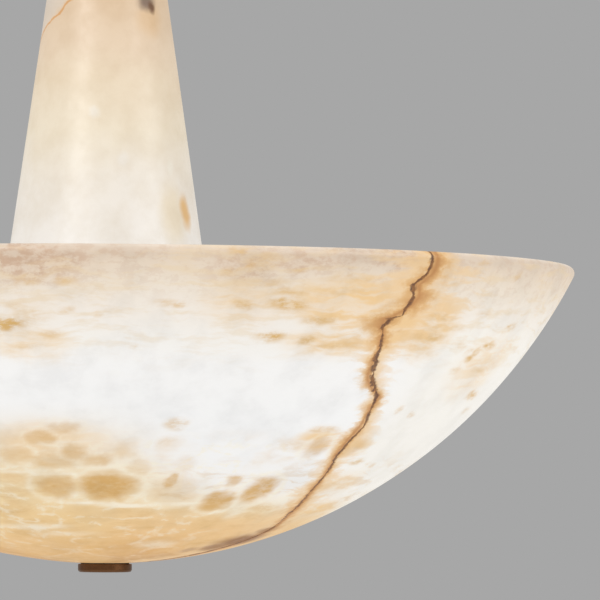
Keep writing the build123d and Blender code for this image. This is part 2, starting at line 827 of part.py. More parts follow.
save("mounting_bracket", make_bracket())
save("hanger_nipple", ring(tube_radius, tube_bore, nipple_low_z, nipple_top_z))
save("hanger_lock_washer", ring(lock_washer_radius, nut_bore, bracket_top_z, washer_top_z))
save(
    "hanger_locknuts",
    hex_nut(tube_nut_flats, nut_bore, washer_top_z, washer_top_z + tube_nut_height),
    hex_nut(tube_nut_flats, nut_bore, hanger_top_z, bracket_low_z),
)
save("hanger_yoke", make_hanger_yoke())
save("terminal_block", make_terminal_block())
save("terminal_clamp_screws", *make_clamp_screws())
save("terminal_block_screws", *[spot * block_fixing for spot in block_screw_spots()])
save(
    "earth_screw",
    earth_spot() * Pos(0, 0, earth_washer_thickness) * earth_fixing,
    earth_spot() * ring(earth_washer_radius, earth_screw_radius + thread_gap, 0, earth_washer_thickness),
)
save("canopy_lead", bar(lead_radius, pivot_z + lead_radius + slip_gap, nipple_top_z + lead_past_tube))
save("canopy_lead_cores", *make_canopy_cores())

save("canopy", make_canopy())
save("canopy_ring", make_canopy_ring())

gimbal_ring, gimbal_pins = make_gimbal()
save("gimbal_ring", gimbal_ring)
save("gimbal_pins", *gimbal_pins)

save("rod_yoke", make_rod_yoke())
save("rod_tube", ring(rod_radius, tube_radius + thread_gap, cap_top_z, rod_top_z))
save("stem_lead", make_stem_lead())
save("stem_lead_cores", *make_stem_cores())
save("support_tube", ring(tube_radius, tube_bore, tube_low_z, cap_top_z + rod_thread_length))
save("cone_cap", make_cone_cap())
save(
    "cone_cap_gasket",
    ring(
        stem_top_radius - stem_gasket_inset,
        stem_top_radius - stem_wall + stem_gasket_inset,
        stem_top_z,
        stem_top_z + cap_gasket_thickness,
    ),
)
save("alabaster_stem", make_alabaster_stem())
save(
    "cone_base_gasket",
    ring(
        stem_base_radius - stem_gasket_inset,
        stem_base_radius - stem_wall + stem_gasket_inset,
        plate_top_z,
        stem_base_z,
    ),
)
save("lamp_plate", make_lamp_plate())
save(
    "tube_locknuts",
    hex_nut(tube_nut_flats, nut_bore, plate_top_z, plate_top_z + tube_nut_height),
    hex_nut(tube_nut_flats, nut_bore, cluster_ceiling_z - tube_nut_height, cluster_ceiling_z),
)
save("cluster_body", make_cluster_body())
save("cluster_cover", make_cluster_cover())
save("cluster_screws", *make_cluster_screws())
save("terminal_ring", make_terminal_ring())
terminal_fixing = pan_screw(
    fixing_screw_radius, terminal_hole_depth - thread_end_gap, fixing_head_radius, fixing_head_height
)
save("terminal_ring_screws", *[spot * terminal_fixing for spot in terminal_screw_spots()])
save("side_lamp_holders", *[spot * make_holder() for spot in side_holder_spots()])
save("stem_lamp_holders", *[spot * make_holder() for spot in stem_holder_spots()])
save("holder_screws", *make_holder_screws())
save("holder_leads", *make_holder_leads())
save("bowl_stud", bar(stud_radius, stud_low_z, stud_top_z))
save(
    "stud_nuts",
    hex_nut(stud_nut_flats, stud_bore, cover_top_z, cover_top_z + stud_nut_height),
    hex_nut(stud_nut_flats, stud_bore, cover_low_z - stud_nut_height, cover_low_z),
    hex_nut(
        stud_nut_flats,
        stud_bore,
        stop_washer_z + stop_washer_thickness,
        stop_washer_z + stop_washer_thickness + stud_nut_height,
    ),
)
save(
    "bowl_stop_washer",
    ring(seat_washer_radius, stud_bore, stop_washer_z, stop_washer_z + stop_washer_thickness),
)
save("bowl_inner_gasket", ring(seat_washer_radius, bowl_hole_radius, inner_seat_z, stop_washer_z))

save_lamps("side", side_holder_spots())
save_lamps("stem", stem_holder_spots())

save("alabaster_bowl", make_bowl())
save("bowl_hole_sleeve", ring(sleeve_bore + sleeve_wall, sleeve_bore, outer_seat_z, inner_seat_z))
save("bowl_outer_gasket", ring(outer_gasket_radius, sleeve_bore, finial_top_z, outer_seat_z))
save("finial", make_finial())
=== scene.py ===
import json
from math import acos, asin, atan2, cos, degrees, pi, radians, sin, sqrt

import bpy
import numpy as np
from mathutils import Euler, Matrix, Vector, noise


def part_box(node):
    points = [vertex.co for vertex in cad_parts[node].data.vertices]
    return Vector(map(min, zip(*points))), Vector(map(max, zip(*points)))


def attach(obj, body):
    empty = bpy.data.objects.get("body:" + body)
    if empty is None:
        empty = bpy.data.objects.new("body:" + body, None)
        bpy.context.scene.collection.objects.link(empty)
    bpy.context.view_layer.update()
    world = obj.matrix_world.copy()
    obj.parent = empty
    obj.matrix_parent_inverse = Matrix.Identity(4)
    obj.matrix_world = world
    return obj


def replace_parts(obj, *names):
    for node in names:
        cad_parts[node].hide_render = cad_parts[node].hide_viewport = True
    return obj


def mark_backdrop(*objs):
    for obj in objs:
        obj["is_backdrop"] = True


# The looks of a stone bowl pendant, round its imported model. Lengths are in mm unless a name says otherwise.

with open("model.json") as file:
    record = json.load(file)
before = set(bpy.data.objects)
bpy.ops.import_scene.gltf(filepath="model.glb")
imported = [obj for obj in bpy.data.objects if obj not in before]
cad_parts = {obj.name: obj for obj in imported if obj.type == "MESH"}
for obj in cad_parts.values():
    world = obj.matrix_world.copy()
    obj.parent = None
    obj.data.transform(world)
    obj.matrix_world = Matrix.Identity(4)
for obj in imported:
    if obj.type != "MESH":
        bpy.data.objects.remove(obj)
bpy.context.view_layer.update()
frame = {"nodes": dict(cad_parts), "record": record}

MM = 0.001

# ------------------------------------------------------------------ sizes, from the frame and the model

bowl_low, bowl_high = (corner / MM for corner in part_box("alabaster_bowl"))
stem_low, stem_high = (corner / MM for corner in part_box("alabaster_stem"))

rim_z = bowl_high.z
sphere_radius = 336.0
bowl_wall = 12.0
cavity_radius = sphere_radius - bowl_wall
bowl_depth = 189.5
centre_z = rim_z - bowl_depth + sphere_radius
hole_radius = 9.1
outer_seat_z = bowl_low.z
inner_seat_z = -816.75
lip_round = 4.0
lip_inner_round = 2.0

stem_wall = 10.0
stem_above_rim = 300.0
stem_below_rim = 45.0
stem_base_radius = stem_high.x
stem_top_radius = 20.8
stem_slope = (stem_base_radius - stem_top_radius) / (stem_high.z - stem_low.z)
stem_edge_round = 1.0

# ------------------------------------------------------------------ the photograph's view

PHOTO_SIDE = 600
PHOTO_MIDDLE = PHOTO_SIDE / 2
FOCAL_PIXELS = 4678.0
SENSOR_WIDTH = 36.0
CAMERA_PLACE = Vector((0.0, -3000.0, rim_z - 142.6))
CAMERA_YAW = 2.377
CAMERA_PITCH = 2.331
CAMERA_ROLL = 0.131
camera_turn = (
    Euler((radians(90 + CAMERA_PITCH), 0, radians(-CAMERA_YAW))).to_matrix()
    @ Matrix.Rotation(radians(CAMERA_ROLL), 3, "Z")
)


def sight(x, y):
    """The direction from the camera through a pixel of the photograph."""
    return camera_turn @ Vector((x - PHOTO_MIDDLE, PHOTO_MIDDLE - y, -FOCAL_PIXELS)).normalized()


def azimuth_of(point):
    """Degrees round the axis: 0 faces the camera's side, and 90 is +X."""
    return degrees(atan2(point.x, -point.y))


def on_bowl(x, y):
    """Azimuth, and drop below the rim, of the place on the bowl that a pixel shows."""
    ray = sight(x, y)
    start = CAMERA_PLACE - Vector((0, 0, centre_z))
    middle = start.dot(ray)
    inside = max(0.0, middle**2 - start.length_squared + sphere_radius**2)
    point = CAMERA_PLACE + (-middle - sqrt(inside)) * ray
    return azimuth_of(point), rim_z - point.z


def on_stem(x, y):
    """Azimuth, and height above the rim, of the place on the stem that a pixel shows."""
    ray = sight(x, y)
    start = CAMERA_PLACE
    reach = stem_base_radius - stem_slope * (start.z - stem_low.z)
    narrowing = -stem_slope * ray.z
    square = ray.x**2 + ray.y**2 - narrowing**2
    linear = 2 * (start.x * ray.x + start.y * ray.y - reach * narrowing)
    constant = start.x**2 + start.y**2 - reach**2
    inside = max(0.0, linear**2 - 4 * square * constant)
    point = start + (-linear - sqrt(inside)) / (2 * square) * ray
    return azimuth_of(point), point.z - rim_z


def bowl_axes(azimuth, drop):
    """A place on the bowl's outside, and the turn whose X runs round the bowl and Z up its side."""
    tilt = acos(1 - (bowl_depth - drop) / sphere_radius)
    turn = radians(azimuth)
    radius = sphere_radius * sin(tilt)
    place = Vector((radius * sin(turn), -radius * cos(turn), rim_z - drop))
    round_axis = Vector((cos(turn), sin(turn), 0))
    up_axis = Vector((cos(tilt) * sin(turn), -cos(tilt) * cos(turn), sin(tilt)))
    in_axis = up_axis.cross(round_axis)
    return place, Matrix((round_axis, in_axis, up_axis)).transposed().to_euler()


def stem_axes(azimuth, height):
    """A place on the stem's outside, and the turn whose X runs round the stem."""
    turn = radians(azimuth)
    radius = stem_base_radius - stem_slope * (rim_z + height - stem_low.z)
    return Vector((radius * sin(turn), -radius * cos(turn), rim_z + height)), Euler((0, 0, turn))


# ------------------------------------------------------------------ colours and shader graphs


def linear(red, green, blue):
    """An eight-bit display colour as the linear colour that a shader takes."""
    parts = [c / 255 for c in (red, green, blue)]
    return tuple(p / 12.92 if p <= 0.04045 else ((p + 0.055) / 1.055) ** 2.4 for p in parts) + (1.0,)


class Graph:
    """Adds nodes to a tree. Each method returns the output that the next node takes."""

    def __init__(self, tree):
        self.tree = tree

    def add(self, kind, feeds=None, **settings):
        node = self.tree.nodes.new(kind)
        for name, value in settings.items():
            setattr(node, name, value)
        for name, value in (feeds or {}).items():
            self.feed(node.inputs[name], value)
        return node

    def feed(self, socket, value):
        if isinstance(value, bpy.types.NodeSocket):
            self.tree.links.new(value, socket)
        else:
            socket.default_value = value

    def math(self, operation, first, *others):
        """One math node for each further value, from left to right, or a single one where there is none."""
        if not others:
            return self.add("ShaderNodeMath", {0: first}, operation=operation).outputs[0]
        for other in others:
            first = self.add("ShaderNodeMath", {0: first, 1: other}, operation=operation).outputs[0]
        return first

    def times(self, *values):
        return self.math("MULTIPLY", *values)

    def plus(self, *values):
        return self.math("ADD", *values)

    def minus(self, value, taken):
        return self.math("SUBTRACT", value, taken)

    def over(self, value, divisor):
        return self.math("DIVIDE", value, divisor)

    def size_of(self, value):
        return self.math("ABSOLUTE", value)

    def vector(self, operation, feeds, output=0):
        return self.add("ShaderNodeVectorMath", feeds, operation=operation).outputs[output]

    def step(self, value, low, high, to_low=0.0, to_high=1.0):
        """Eases from to_low to to_high while value goes from low to high."""
        feeds = {"Value": value, "From Min": low, "From Max": high, "To Min": to_low, "To Max": to_high}
        node = self.add("ShaderNodeMapRange", feeds, interpolation_type="SMOOTHSTEP", clamp=False)
        return node.outputs["Result"]

    def centred(self, value, reach):
        """Noise about 0.5, as a length that goes both ways from nought."""
        return self.times(self.minus(value, 0.5), reach)

    def mix(self, amount, under, over, blend="MIX"):
        feeds = {"Factor": amount, 6: under, 7: over}
        return self.add("ShaderNodeMix", feeds, data_type="RGBA", blend_type=blend).outputs[2]

    def tinted(self, under, tint, amount):
        return self.mix(amount, under, linear(*tint))

    def dimmed(self, colour, share):
        return self.mix(1.0, colour, (share, share, share, 1.0), "MULTIPLY")

    def ramp(self, value, stops, scale=1.0):
        """A colour ramp. Stops are (position, (red, green, blue)), with positions divided by scale."""
        node = self.add("ShaderNodeValToRGB", {"Fac": self.over(value, scale)})
        band = node.color_ramp.elements
        while len(band) < len(stops):
            band.new(1.0)
        for element, (position, colour) in zip(band, stops):
            element.position = position / scale
            element.color = linear(*colour)
        return node.outputs["Color"]

    def curve(self, value, points, x_span, y_span):
        """A line through (x, y) points, straight between them. Each span is (lowest, highest)."""
        scaled = [
            ((x - x_span[0]) / (x_span[1] - x_span[0]), (y - y_span[0]) / (y_span[1] - y_span[0]))
            for x, y in sorted(points)
        ]
        reach = {"Value": value, "From Min": x_span[0], "From Max": x_span[1]}
        along = self.add("ShaderNodeMapRange", reach).outputs["Result"]
        node = self.add("ShaderNodeFloatCurve", {"Value": along})
        line = node.mapping.curves[0]
        while len(line.points) < len(scaled):
            line.points.new(0.5, 0.5)
        for point, place in zip(line.points, scaled):
            point.location = place
            point.handle_type = "VECTOR"
        node.mapping.update()
        back = {"Value": node.outputs[0], "To Min": y_span[0], "To Max": y_span[1]}
        return self.add("ShaderNodeMapRange", back).outputs["Result"]

    def scaled(self, place, size):
        """A place measured in a size that is given along each axis."""
        return self.vector("MULTIPLY", {0: place, 1: tuple(1 / s for s in size)})

    def noise(self, place, size, detail=3.0, roughness=0.55, output=0):
        """Soft noise about 0.5. Size is one number, or one along each axis."""
        if isinstance(size, tuple):
            place, size = self.scaled(place, size), 1.0
        feeds = {"Vector": place, "Scale": 1 / size, "Detail": detail, "Roughness": roughness}
        return self.add("ShaderNodeTexNoise", feeds).outputs[output]

    def shifted(self, place, size, reach):
        """Moves a place by up to reach, so that shapes read from it have uneven edges."""
        coloured = self.noise(place, size, output=1)
        centred = self.vector("SUBTRACT", {0: coloured, 1: (0.5, 0.5, 0.5)})
        moved = self.vector("SCALE", {0: centred, "Scale": 2 * reach})
        return self.vector("ADD", {0: place, 1: moved})

    def attribute(self, name):
        """A mask worked out for each point of the mesh."""
        return self.add("ShaderNodeAttribute", attribute_name=name).outputs["Fac"]

    def spot(self, place, axes, half_width, half_height, strength):
        """A soft spot, strongest in its middle."""
        centre, turn = axes
        half_sizes = (half_width, SPOT_DEPTH, half_height)
        feeds = {"Vector": place, "Location": centre, "Rotation": turn, "Scale": half_sizes}
        local = self.add("ShaderNodeMapping", feeds, vector_type="TEXTURE").outputs[0]
        return self.step(self.vector("LENGTH", {0: local}, "Value"), 1.15, 0.25, 0.0, strength)

    def cells(self, place, size):
        """Distance from the nearest edge between cells of about the size that is given along each axis."""
        feeds = {"Vector": self.scaled(place, size), "Scale": 1.0}
        return self.add("ShaderNodeTexVoronoi", feeds, feature="DISTANCE_TO_EDGE").outputs["Distance"]

    def bump(self, height, distance, strength=1.0):
        feeds = {"Height": height, "Distance": distance * MM, "Strength": strength}
        return self.add("ShaderNodeBump", feeds).outputs[0]


def new_material(name):
    """A material with an empty Principled shader, the graph that fills it, and the shader's sockets."""
    material = bpy.data.materials.new(name)
    material.use_nodes = True
    graph = Graph(material.node_tree)
    return material, graph, material.node_tree.nodes["Principled BSDF"].inputs


def places(graph):
    """The surface's own place in mm, as the part lies in its frame."""
    own = graph.add("ShaderNodeTexCoord").outputs["Object"]
    return graph.vector("SCALE", {0: own, "Scale": 1 / MM})


# ------------------------------------------------------------------ stone: places of its marks

# The bowl's marks lie on the half round this azimuth, and the other half repeats them after half a turn.
SEEN_AZIMUTH = 30.0
SEEN_HALF = 90.0
LEAST_TURNED_AWAY = 0.4
SPOT_DEPTH = 30.0
DROPS = (0.0, 190.0)

# The crack, as pixels of the photograph from the rim down to the bowl's underside.
CRACK_PIXELS = [
    (435, 251), (432, 265), (427, 274), (421, 279), (413, 285), (414, 297), (406, 308), (402, 316),
    (391, 318), (383, 327), (382, 345), (377, 357), (374, 370), (372, 380), (375, 388), (377, 396),
    (371, 410), (364, 427), (352, 439), (337, 456), (331, 468), (312, 491), (290, 514), (268, 531),
    (245, 541), (215, 550),
]
CRACK_AZIMUTHS = (30.0, 75.0)
crack_line = [on_bowl(x, y)[::-1] for x, y in CRACK_PIXELS]

# Down the crack, as (drop, mm): how far its halo lies to the right, and the half widths of the pale stain round
# it, of the halo and of the dark core.
CRACK_SIDE = [
    (0, 4), (26, 5), (34, 2), (38, -6), (48, 0), (62, -2), (74, -4), (82, -3), (86, 3), (92, -1), (104, -4),
    (130, -1), (170, 2),
]
CRACK_STAIN = [
    (0, 40), (20, 54), (45, 54), (60, 22), (80, 16), (100, 12), (115, 26), (130, 16), (160, 30), (185, 60),
]
CRACK_HALO = [
    (0, 14), (10, 18), (28, 22), (40, 26), (50, 17), (60, 8), (75, 9), (88, 11), (100, 8), (112, 11), (125, 8),
    (142, 10), (160, 14), (180, 22),
]
CRACK_CORE = [
    (0, 1.0), (14, 1.2), (22, 2.0), (26, 1.0), (32, 1.9), (37, 0.6), (41, 2.4), (46, 0.9), (58, 0.8), (66, 1.8),
    (72, 1.4), (82, 2.3), (88, 1.0), (104, 0.9), (125, 1.1), (142, 1.0), (160, 1.0), (176, 1.4), (188, 2.6),
]

# Each mark on the side that the photograph shows: (pixel x, y), half width, half height, strength.
RIM_CLOUDS = [
    ((28, 262), 46, 17, 1.0), ((62, 256), 22, 8, 0.8), ((118, 253), 30, 5, 0.35), ((446, 256), 9, 5, 0.9),
    ((402, 258), 22, 9, 1.0), ((245, 266), 24, 14, 0.75), ((300, 262), 22, 10, 0.7), ((360, 256), 40, 6, 0.6),
    ((335, 262), 22, 7, 0.5),
]
WARM_WASHES = [
    ((350, 304), 40, 22, 0.9), ((330, 344), 34, 13, 0.75), ((432, 330), 20, 26, 0.8), ((480, 368), 18, 30, 0.5),
    ((50, 444), 42, 26, 0.55), ((318, 440), 16, 14, 0.9), ((350, 448), 14, 12, 0.8), ((300, 517), 24, 30, 1.0),
    ((335, 487), 16, 20, 0.5), ((205, 543), 20, 30, 0.8), ((30, 345), 30, 14, 0.5), ((245, 300), 30, 20, 0.4),
    ((30, 545), 30, 24, 1.0), ((400, 328), 17, 18, 1.0),
]
TAN_STAINS = [
    ((6, 325), 14, 5.5, 0.95), ((28, 281), 10, 3.0, 0.6), ((66, 282), 9, 3.5, 0.5), ((50, 335), 9, 3.5, 0.45),
    ((66, 311), 7, 3.0, 0.4), ((26, 346), 10, 2.5, 0.4), ((30, 316), 16, 7, 0.3), ((18, 306), 10, 3.0, 0.4),
    ((252, 267), 4.5, 2.6, 0.7), ((269, 264), 5.5, 2.4, 0.6), ((227, 273), 4.5, 3.0, 0.5),
    ((240, 271), 3.5, 2.5, 0.4), ((240, 251), 8, 3.0, 0.5), ((301, 271), 6, 2.0, 0.6), ((262, 262), 15, 7, 0.3),
    ((244, 306), 9, 3.2, 0.8), ((288, 305), 16, 5.5, 0.85), ((292, 293), 13, 2.8, 0.55),
    ((322, 320), 15, 3.4, 0.7), ((270, 337), 12, 5.0, 0.9), ((306, 341), 7, 3.4, 0.85),
    ((334, 347), 18, 2.6, 0.5), ((350, 345), 20, 4.0, 0.45), ((272, 283), 16, 3.0, 0.3),
    ((355, 279), 26, 2.2, 0.45), ((345, 292), 24, 3.0, 0.35), ((511, 327), 4.6, 3.6, 0.8),
    ((489, 345), 5.0, 3.4, 0.9), ((477, 352), 3.2, 3.0, 0.8), ((470, 358), 3.6, 2.8, 0.8),
    ((469, 351), 3.6, 2.0, 0.6), ((484, 313), 7, 2.6, 0.35), ((461, 345), 5.5, 2.0, 0.4),
    ((513, 349), 6, 2.2, 0.4), ((456, 369), 3.6, 3.6, 0.4), ((478, 371), 5.0, 2.2, 0.4),
    ((472, 396), 5.5, 5.0, 0.75), ((466, 411), 4.5, 4.0, 0.3), ((411, 415), 2.8, 2.4, 0.5),
    ((400, 410), 2.6, 2.4, 0.5), ((456, 284), 5.0, 2.8, 0.45), ((483, 264), 6, 2.4, 0.5),
    ((517, 278), 3.0, 2.4, 0.4), ((440, 318), 13, 2.8, 0.6), ((447, 330), 18, 3.2, 0.4),
    ((428, 338), 15, 3.5, 0.6), ((165, 302), 10, 3.0, 0.4), ((181, 305), 7, 2.4, 0.75),
    ((133, 347), 3, 2.0, 0.3), ((98, 315), 3, 2.4, 0.3), ((176, 424), 9, 6, 0.5), ((165, 441), 8, 5, 0.25),
    ((289, 446), 12, 7, 0.35), ((322, 430), 10, 3.6, 0.6), ((357, 462), 6, 3.5, 0.6), ((371, 465), 5, 3.0, 0.5),
    ((3, 453), 12, 6, 0.4), ((203, 526), 10, 8, 0.4), ((139, 528), 21, 3.5, 0.6), ((130, 542), 11, 5, 0.4),
    ((82, 547), 18, 5, 0.5), ((21, 533), 6, 7, 0.6), ((34, 522), 12, 7, 0.45), ((200, 545), 15, 14, 0.7),
    ((160, 512), 40, 5, 0.4), ((264, 508), 13, 7, 0.6), ((8, 512), 14, 9, 0.5), ((60, 551), 16, 10, 0.5),
]
PALE_LINES = [
    ((20, 472), 16, 2.6, 0.8), ((62, 474), 24, 3.0, 1.0), ((116, 475), 26, 3.0, 0.9),
    ((50, 498), 12, 3.0, 0.7), ((84, 503), 22, 3.4, 1.0), ((130, 506), 30, 3.6, 1.0), ((180, 504), 28, 3.4, 1.0), ((34, 527), 28, 7.0, 0.8),
    ((286, 498), 7, 12, 0.5), ((156, 545), 18, 12, 0.8), ((66, 534), 26, 6, 0.5), ((236, 512), 7, 16, 0.6),
]
CRACK_SMEARS = [
    ((240, 541), 14, 18, 1.0), ((216, 547), 9, 15, 0.85), ((266, 531), 6, 8, 0.7), ((190, 550), 6, 9, 0.5),
]
DARK_CELLS = [
    ((56, 486), 15, 17, 0.8), ((108, 487), 21, 19, 1.0), ((171, 482), 6, 11, 0.75), ((174, 490), 17, 20, 0.35),
    ((218, 501), 12, 16, 0.95), ((235, 481), 6, 7, 0.7), ((259, 491), 11, 18, 0.95), ((41, 438), 10, 8, 0.6),
    ((63, 428), 12, 6, 0.45), ((75, 452), 9, 8, 0.6), ((97, 460), 11, 7, 0.6), ((52, 463), 18, 8, 0.45),
    ((18, 455), 12, 10, 0.35), ((140, 468), 9, 10, 0.3), ((318, 447), 8, 11, 0.6), ((349, 447), 10, 12, 0.6),
    ((186, 463), 10, 9, 0.2),
]

# Marks past the photograph's edge: azimuth, drop, half width, half height, strength.
SIDE_CELLS = [
    (-34, 118, 15, 12, 0.7), (-46, 134, 13, 14, 0.7), (-28, 142, 12, 12, 0.6), (-55, 108, 10, 8, 0.5),
]
SIDE_STAINS = [
    (-30, 24, 16, 5, 0.5), (-42, 40, 14, 4, 0.6), (-54, 30, 18, 5, 0.5), (-36, 62, 12, 4, 0.4),
    (88, 60, 9, 4, 0.5), (96, 34, 12, 4, 0.5), (104, 84, 8, 5, 0.5), (112, 50, 12, 4, 0.5),
]

# The stem's tan line, with greyer stone on one side of it, in pixels where the photograph shows it and as
# (height, azimuth) above that.
STEM_LINE_PIXELS = [(44, 30), (51, 21), (58, 14), (64, 6), (70, 0)]
STEM_LINE_REST = [(100, -140), (135, -100), (200, -4), (240, 30), (300, 60)]
STEM_LINE_HEIGHTS = (100.0, 300.0)
WHOLE_TURN = (-180.0, 180.0)

# Marks on the stem: pixel, or azimuth and height, then half width, half height, strength, tint.
STEM_SPOTS = [
    ((174, 215), 15, 26, 0.5, (240, 220, 180)),
    ((186, 212), 7, 13, 0.85, (232, 184, 112)),
    ((150, 18), 12, 16, 0.5, (226, 184, 130)),
    ((147, 1), 9, 8, 0.9, (122, 98, 84)),
    ((152, 8), 3.5, 4.5, 0.9, (112, 74, 44)),
    ((95, 113), 4, 4, 0.6, (248, 242, 232)),
    ((124, 160), 5, 6, 0.5, (248, 244, 238)),
    ((170, 168), 4, 5, 0.5, (248, 243, 230)),
]
STEM_HIGH_SPOTS = [
    ((46, 184), 9, 14, 0.85, (128, 104, 88)),
    ((30, 216), 7, 16, 0.5, (176, 138, 100)),
    ((-70, 190), 14, 34, 0.5, (214, 206, 196)),
    ((150, 120), 16, 26, 0.5, (222, 180, 126)),
    ((-150, 60), 18, 34, 0.45, (230, 200, 150)),
]


def crack_azimuth(drop):
    line = sorted(crack_line)
    return np.interp(drop, [d for d, _ in line], [a for _, a in line])


def bowl_spots(pixels, sides=()):
    """Marks as (axes, half width, half height, strength). Width grows where the side turns from the camera."""
    found = []
    for at, width, height, strength in pixels:
        azimuth, drop = on_bowl(*at)
        turned_away = max(LEAST_TURNED_AWAY, cos(radians(azimuth)))
        found.append((bowl_axes(azimuth, drop), width / turned_away, height, strength))
    return found + [(bowl_axes(azimuth, drop), *sizes) for azimuth, drop, *sizes in sides]


# ------------------------------------------------------------------ stone: masks on the bowl's points

# How marks fade: distances at which they begin and are full, where 1 is the mark's edge.
MARK_FADE = (1.15, 0.3)
CELL_FADE = (1.08, 0.5)
LINE_FADE = (1.1, 0.2)
CELL_RING, RING_FADE, RING_SHARE = 1.12, (0.22, 0.02), 0.6

# How far the edges of marks wander: size of the noise, and reach.
MARK_WANDER = (12.0, 2.2)
CELL_WANDER = (11.0, 2.8)
FINE_WANDER_SIZE, FINE_WANDER_SHARE = 0.35, 0.5
# Without a seed this noise starts from the clock, and the marks differ from run to run.
NOISE_SEED = 1
noise.seed_set(NOISE_SEED)


def eased(value, low, high):
    part = np.clip((value - low) / (high - low), 0, 1)
    return part * part * (3 - 2 * part)


def wandered(points, size, reach):
    """Moves each point by noise, so that shapes worked out from it have uneven edges."""
    coarse = [noise.noise_vector(Vector(p) / size) for p in points]
    fine = [noise.noise_vector(Vector(p) / (size * FINE_WANDER_SIZE)) for p in points]
    return points + reach * (np.array(coarse) + FINE_WANDER_SHARE * np.array(fine))


def spot_distance(points, axes, half_width, half_height):
    """Distance of points from an ellipse's middle, where 1 is its edge."""
    place, turn = axes
    local = (points - np.array(place)) @ np.array(turn.to_matrix())
    return np.linalg.norm(local / np.array([half_width, SPOT_DEPTH, half_height]), axis=1)


def bowl_masks(points):
    """How strongly each kind of mark shows at each point of the bowl, from 0 to 1."""
    masks = {name: np.zeros(len(points)) for name in ("cloud", "wash", "stain", "smear", "cell", "outline")}

    def lay(name, values):
        masks[name] = np.maximum(masks[name], values)

    azimuth = np.degrees(np.arctan2(points[:, 0], -points[:, 1]))
    far = np.abs(azimuth - SEEN_AZIMUTH) > SEEN_HALF
    near = points * np.where(far[:, None], [-1.0, -1.0, 1.0], [1.0, 1.0, 1.0])

    place = wandered(near, *MARK_WANDER)
    soft = {
        "cloud": bowl_spots(RIM_CLOUDS),
        "wash": bowl_spots(WARM_WASHES),
        "stain": bowl_spots(TAN_STAINS, SIDE_STAINS),
        "smear": bowl_spots(CRACK_SMEARS),
    }
    for name, listing in soft.items():
        for *ellipse, strength in listing:
            lay(name, strength * eased(spot_distance(place, *ellipse), *MARK_FADE))

    place = wandered(near, *CELL_WANDER)
    for *ellipse, strength in bowl_spots(DARK_CELLS, SIDE_CELLS):
        distance = spot_distance(place, *ellipse)
        lay("cell", strength * eased(distance, *CELL_FADE))
        lay("outline", RING_SHARE * strength * eased(np.abs(distance - CELL_RING), *RING_FADE))
    for *ellipse, strength in bowl_spots(PALE_LINES):
        lay("outline", strength * eased(spot_distance(near, *ellipse), *LINE_FADE))
    return masks


# ------------------------------------------------------------------ stone: colours with the inner lamps' light painted in

# Painted glow of the inner lamps, by drop below the rim: a pale line at the lip's edge as a painted highlight,
# painted shade just under it towards the rim, white in the band level with the lamps, and weaker, warmer glow
# towards the foot.
BOWL_GLOW = [
    (0, (228, 214, 198)),
    (2.5, (212, 194, 175)),
    (10, (224, 207, 187)),
    (22, (230, 217, 200)),
    (38, (237, 229, 219)),
    (56, (241, 238, 233)),
    (70, (243, 242, 241)),
    (102, (243, 243, 243)),
    (118, (243, 240, 236)),
    (130, (241, 230, 210)),
    (145, (238, 218, 182)),
    (158, (235, 200, 148)),
    (171, (233, 192, 134)),
    (180, (222, 170, 98)),
    (189, (160, 112, 62)),
]
CREAM = (243, 239, 231)
HONEY = (236, 206, 148)
MAUVE = (194, 160, 132)
RIM_SPECK = (198, 166, 140)
STRAW = (226, 202, 164)
OCHRE = (212, 168, 100)
WARM = (235, 198, 142)
TAN = (214, 174, 110)
NET_TAN = (226, 188, 130)
OUTLINE_CREAM = (248, 238, 216)
VEIN_CREAM = (246, 236, 214)
AMBER = (222, 174, 108)
UMBER = (146, 98, 50)
CRACK_WASH = (234, 198, 148)
CRACK_HALO_STOPS = [(0.0, (186, 128, 70)), (0.3, (216, 166, 102)), (1.0, (240, 214, 172))]
CRACK_DARK = (92, 60, 46)
CRACK_BROWN = (136, 90, 50)
BOWL_VEIL = [(0.36, (247, 247, 247)), (0.54, (255, 255, 255))]

# Painted glow of the stem's lamps, by height above the rim: palest low down, darker and warmer towards the top.
STEM_GLOW = [
    (-45, (246, 243, 240)),
    (8, (245, 240, 233)),
    (50, (244, 236, 224)),
    (85, (243, 230, 207)),
    (115, (241, 223, 196)),
    (140, (237, 214, 186)),
    (165, (231, 204, 172)),
    (200, (224, 192, 154)),
    (250, (212, 174, 132)),
    (300, (196, 152, 108)),
]
STEM_GREY_SIDE = (222, 214, 204)
STEM_LINE_TAN = (222, 160, 92)
STEM_VEIL = [(0.3, (246, 243, 238)), (0.6, (255, 255, 255))]

# Shares of the shown colour that the stone reflects and that it gives off as painted glow.
BOWL_LIT, BOWL_GIVEN_OFF = 0.5, 0.62
STEM_LIT, STEM_GIVEN_OFF = 0.5, 0.42
INSIDE_SHARE = 0.45
INSIDE_MARGIN, OUTSIDE_MARGIN = 2.0, 3.0


def polar(graph, place):
    """Azimuth in degrees, radius and height of a place."""
    split = graph.add("ShaderNodeSeparateXYZ", {0: place}).outputs
    azimuth = graph.math("DEGREES", graph.math("ARCTAN2", split[0], graph.times(split[1], -1.0)))
    square = graph.plus(graph.times(split[0], split[0]), graph.times(split[1], split[1]))
    return azimuth, graph.math("SQRT", square), split[2]


def half_turned(graph, place, azimuth):
    """The far half of the bowl repeats the near half's features, turned by half a turn."""
    far = graph.math("GREATER_THAN", graph.size_of(graph.plus(azimuth, -SEEN_AZIMUTH)), SEEN_HALF)
    flip = graph.plus(graph.times(far, -2.0), 1.0)
    signs = graph.add("ShaderNodeCombineXYZ", {0: flip, 1: flip, 2: 1.0}).outputs[0]
    return graph.vector("MULTIPLY", {0: place, 1: signs})


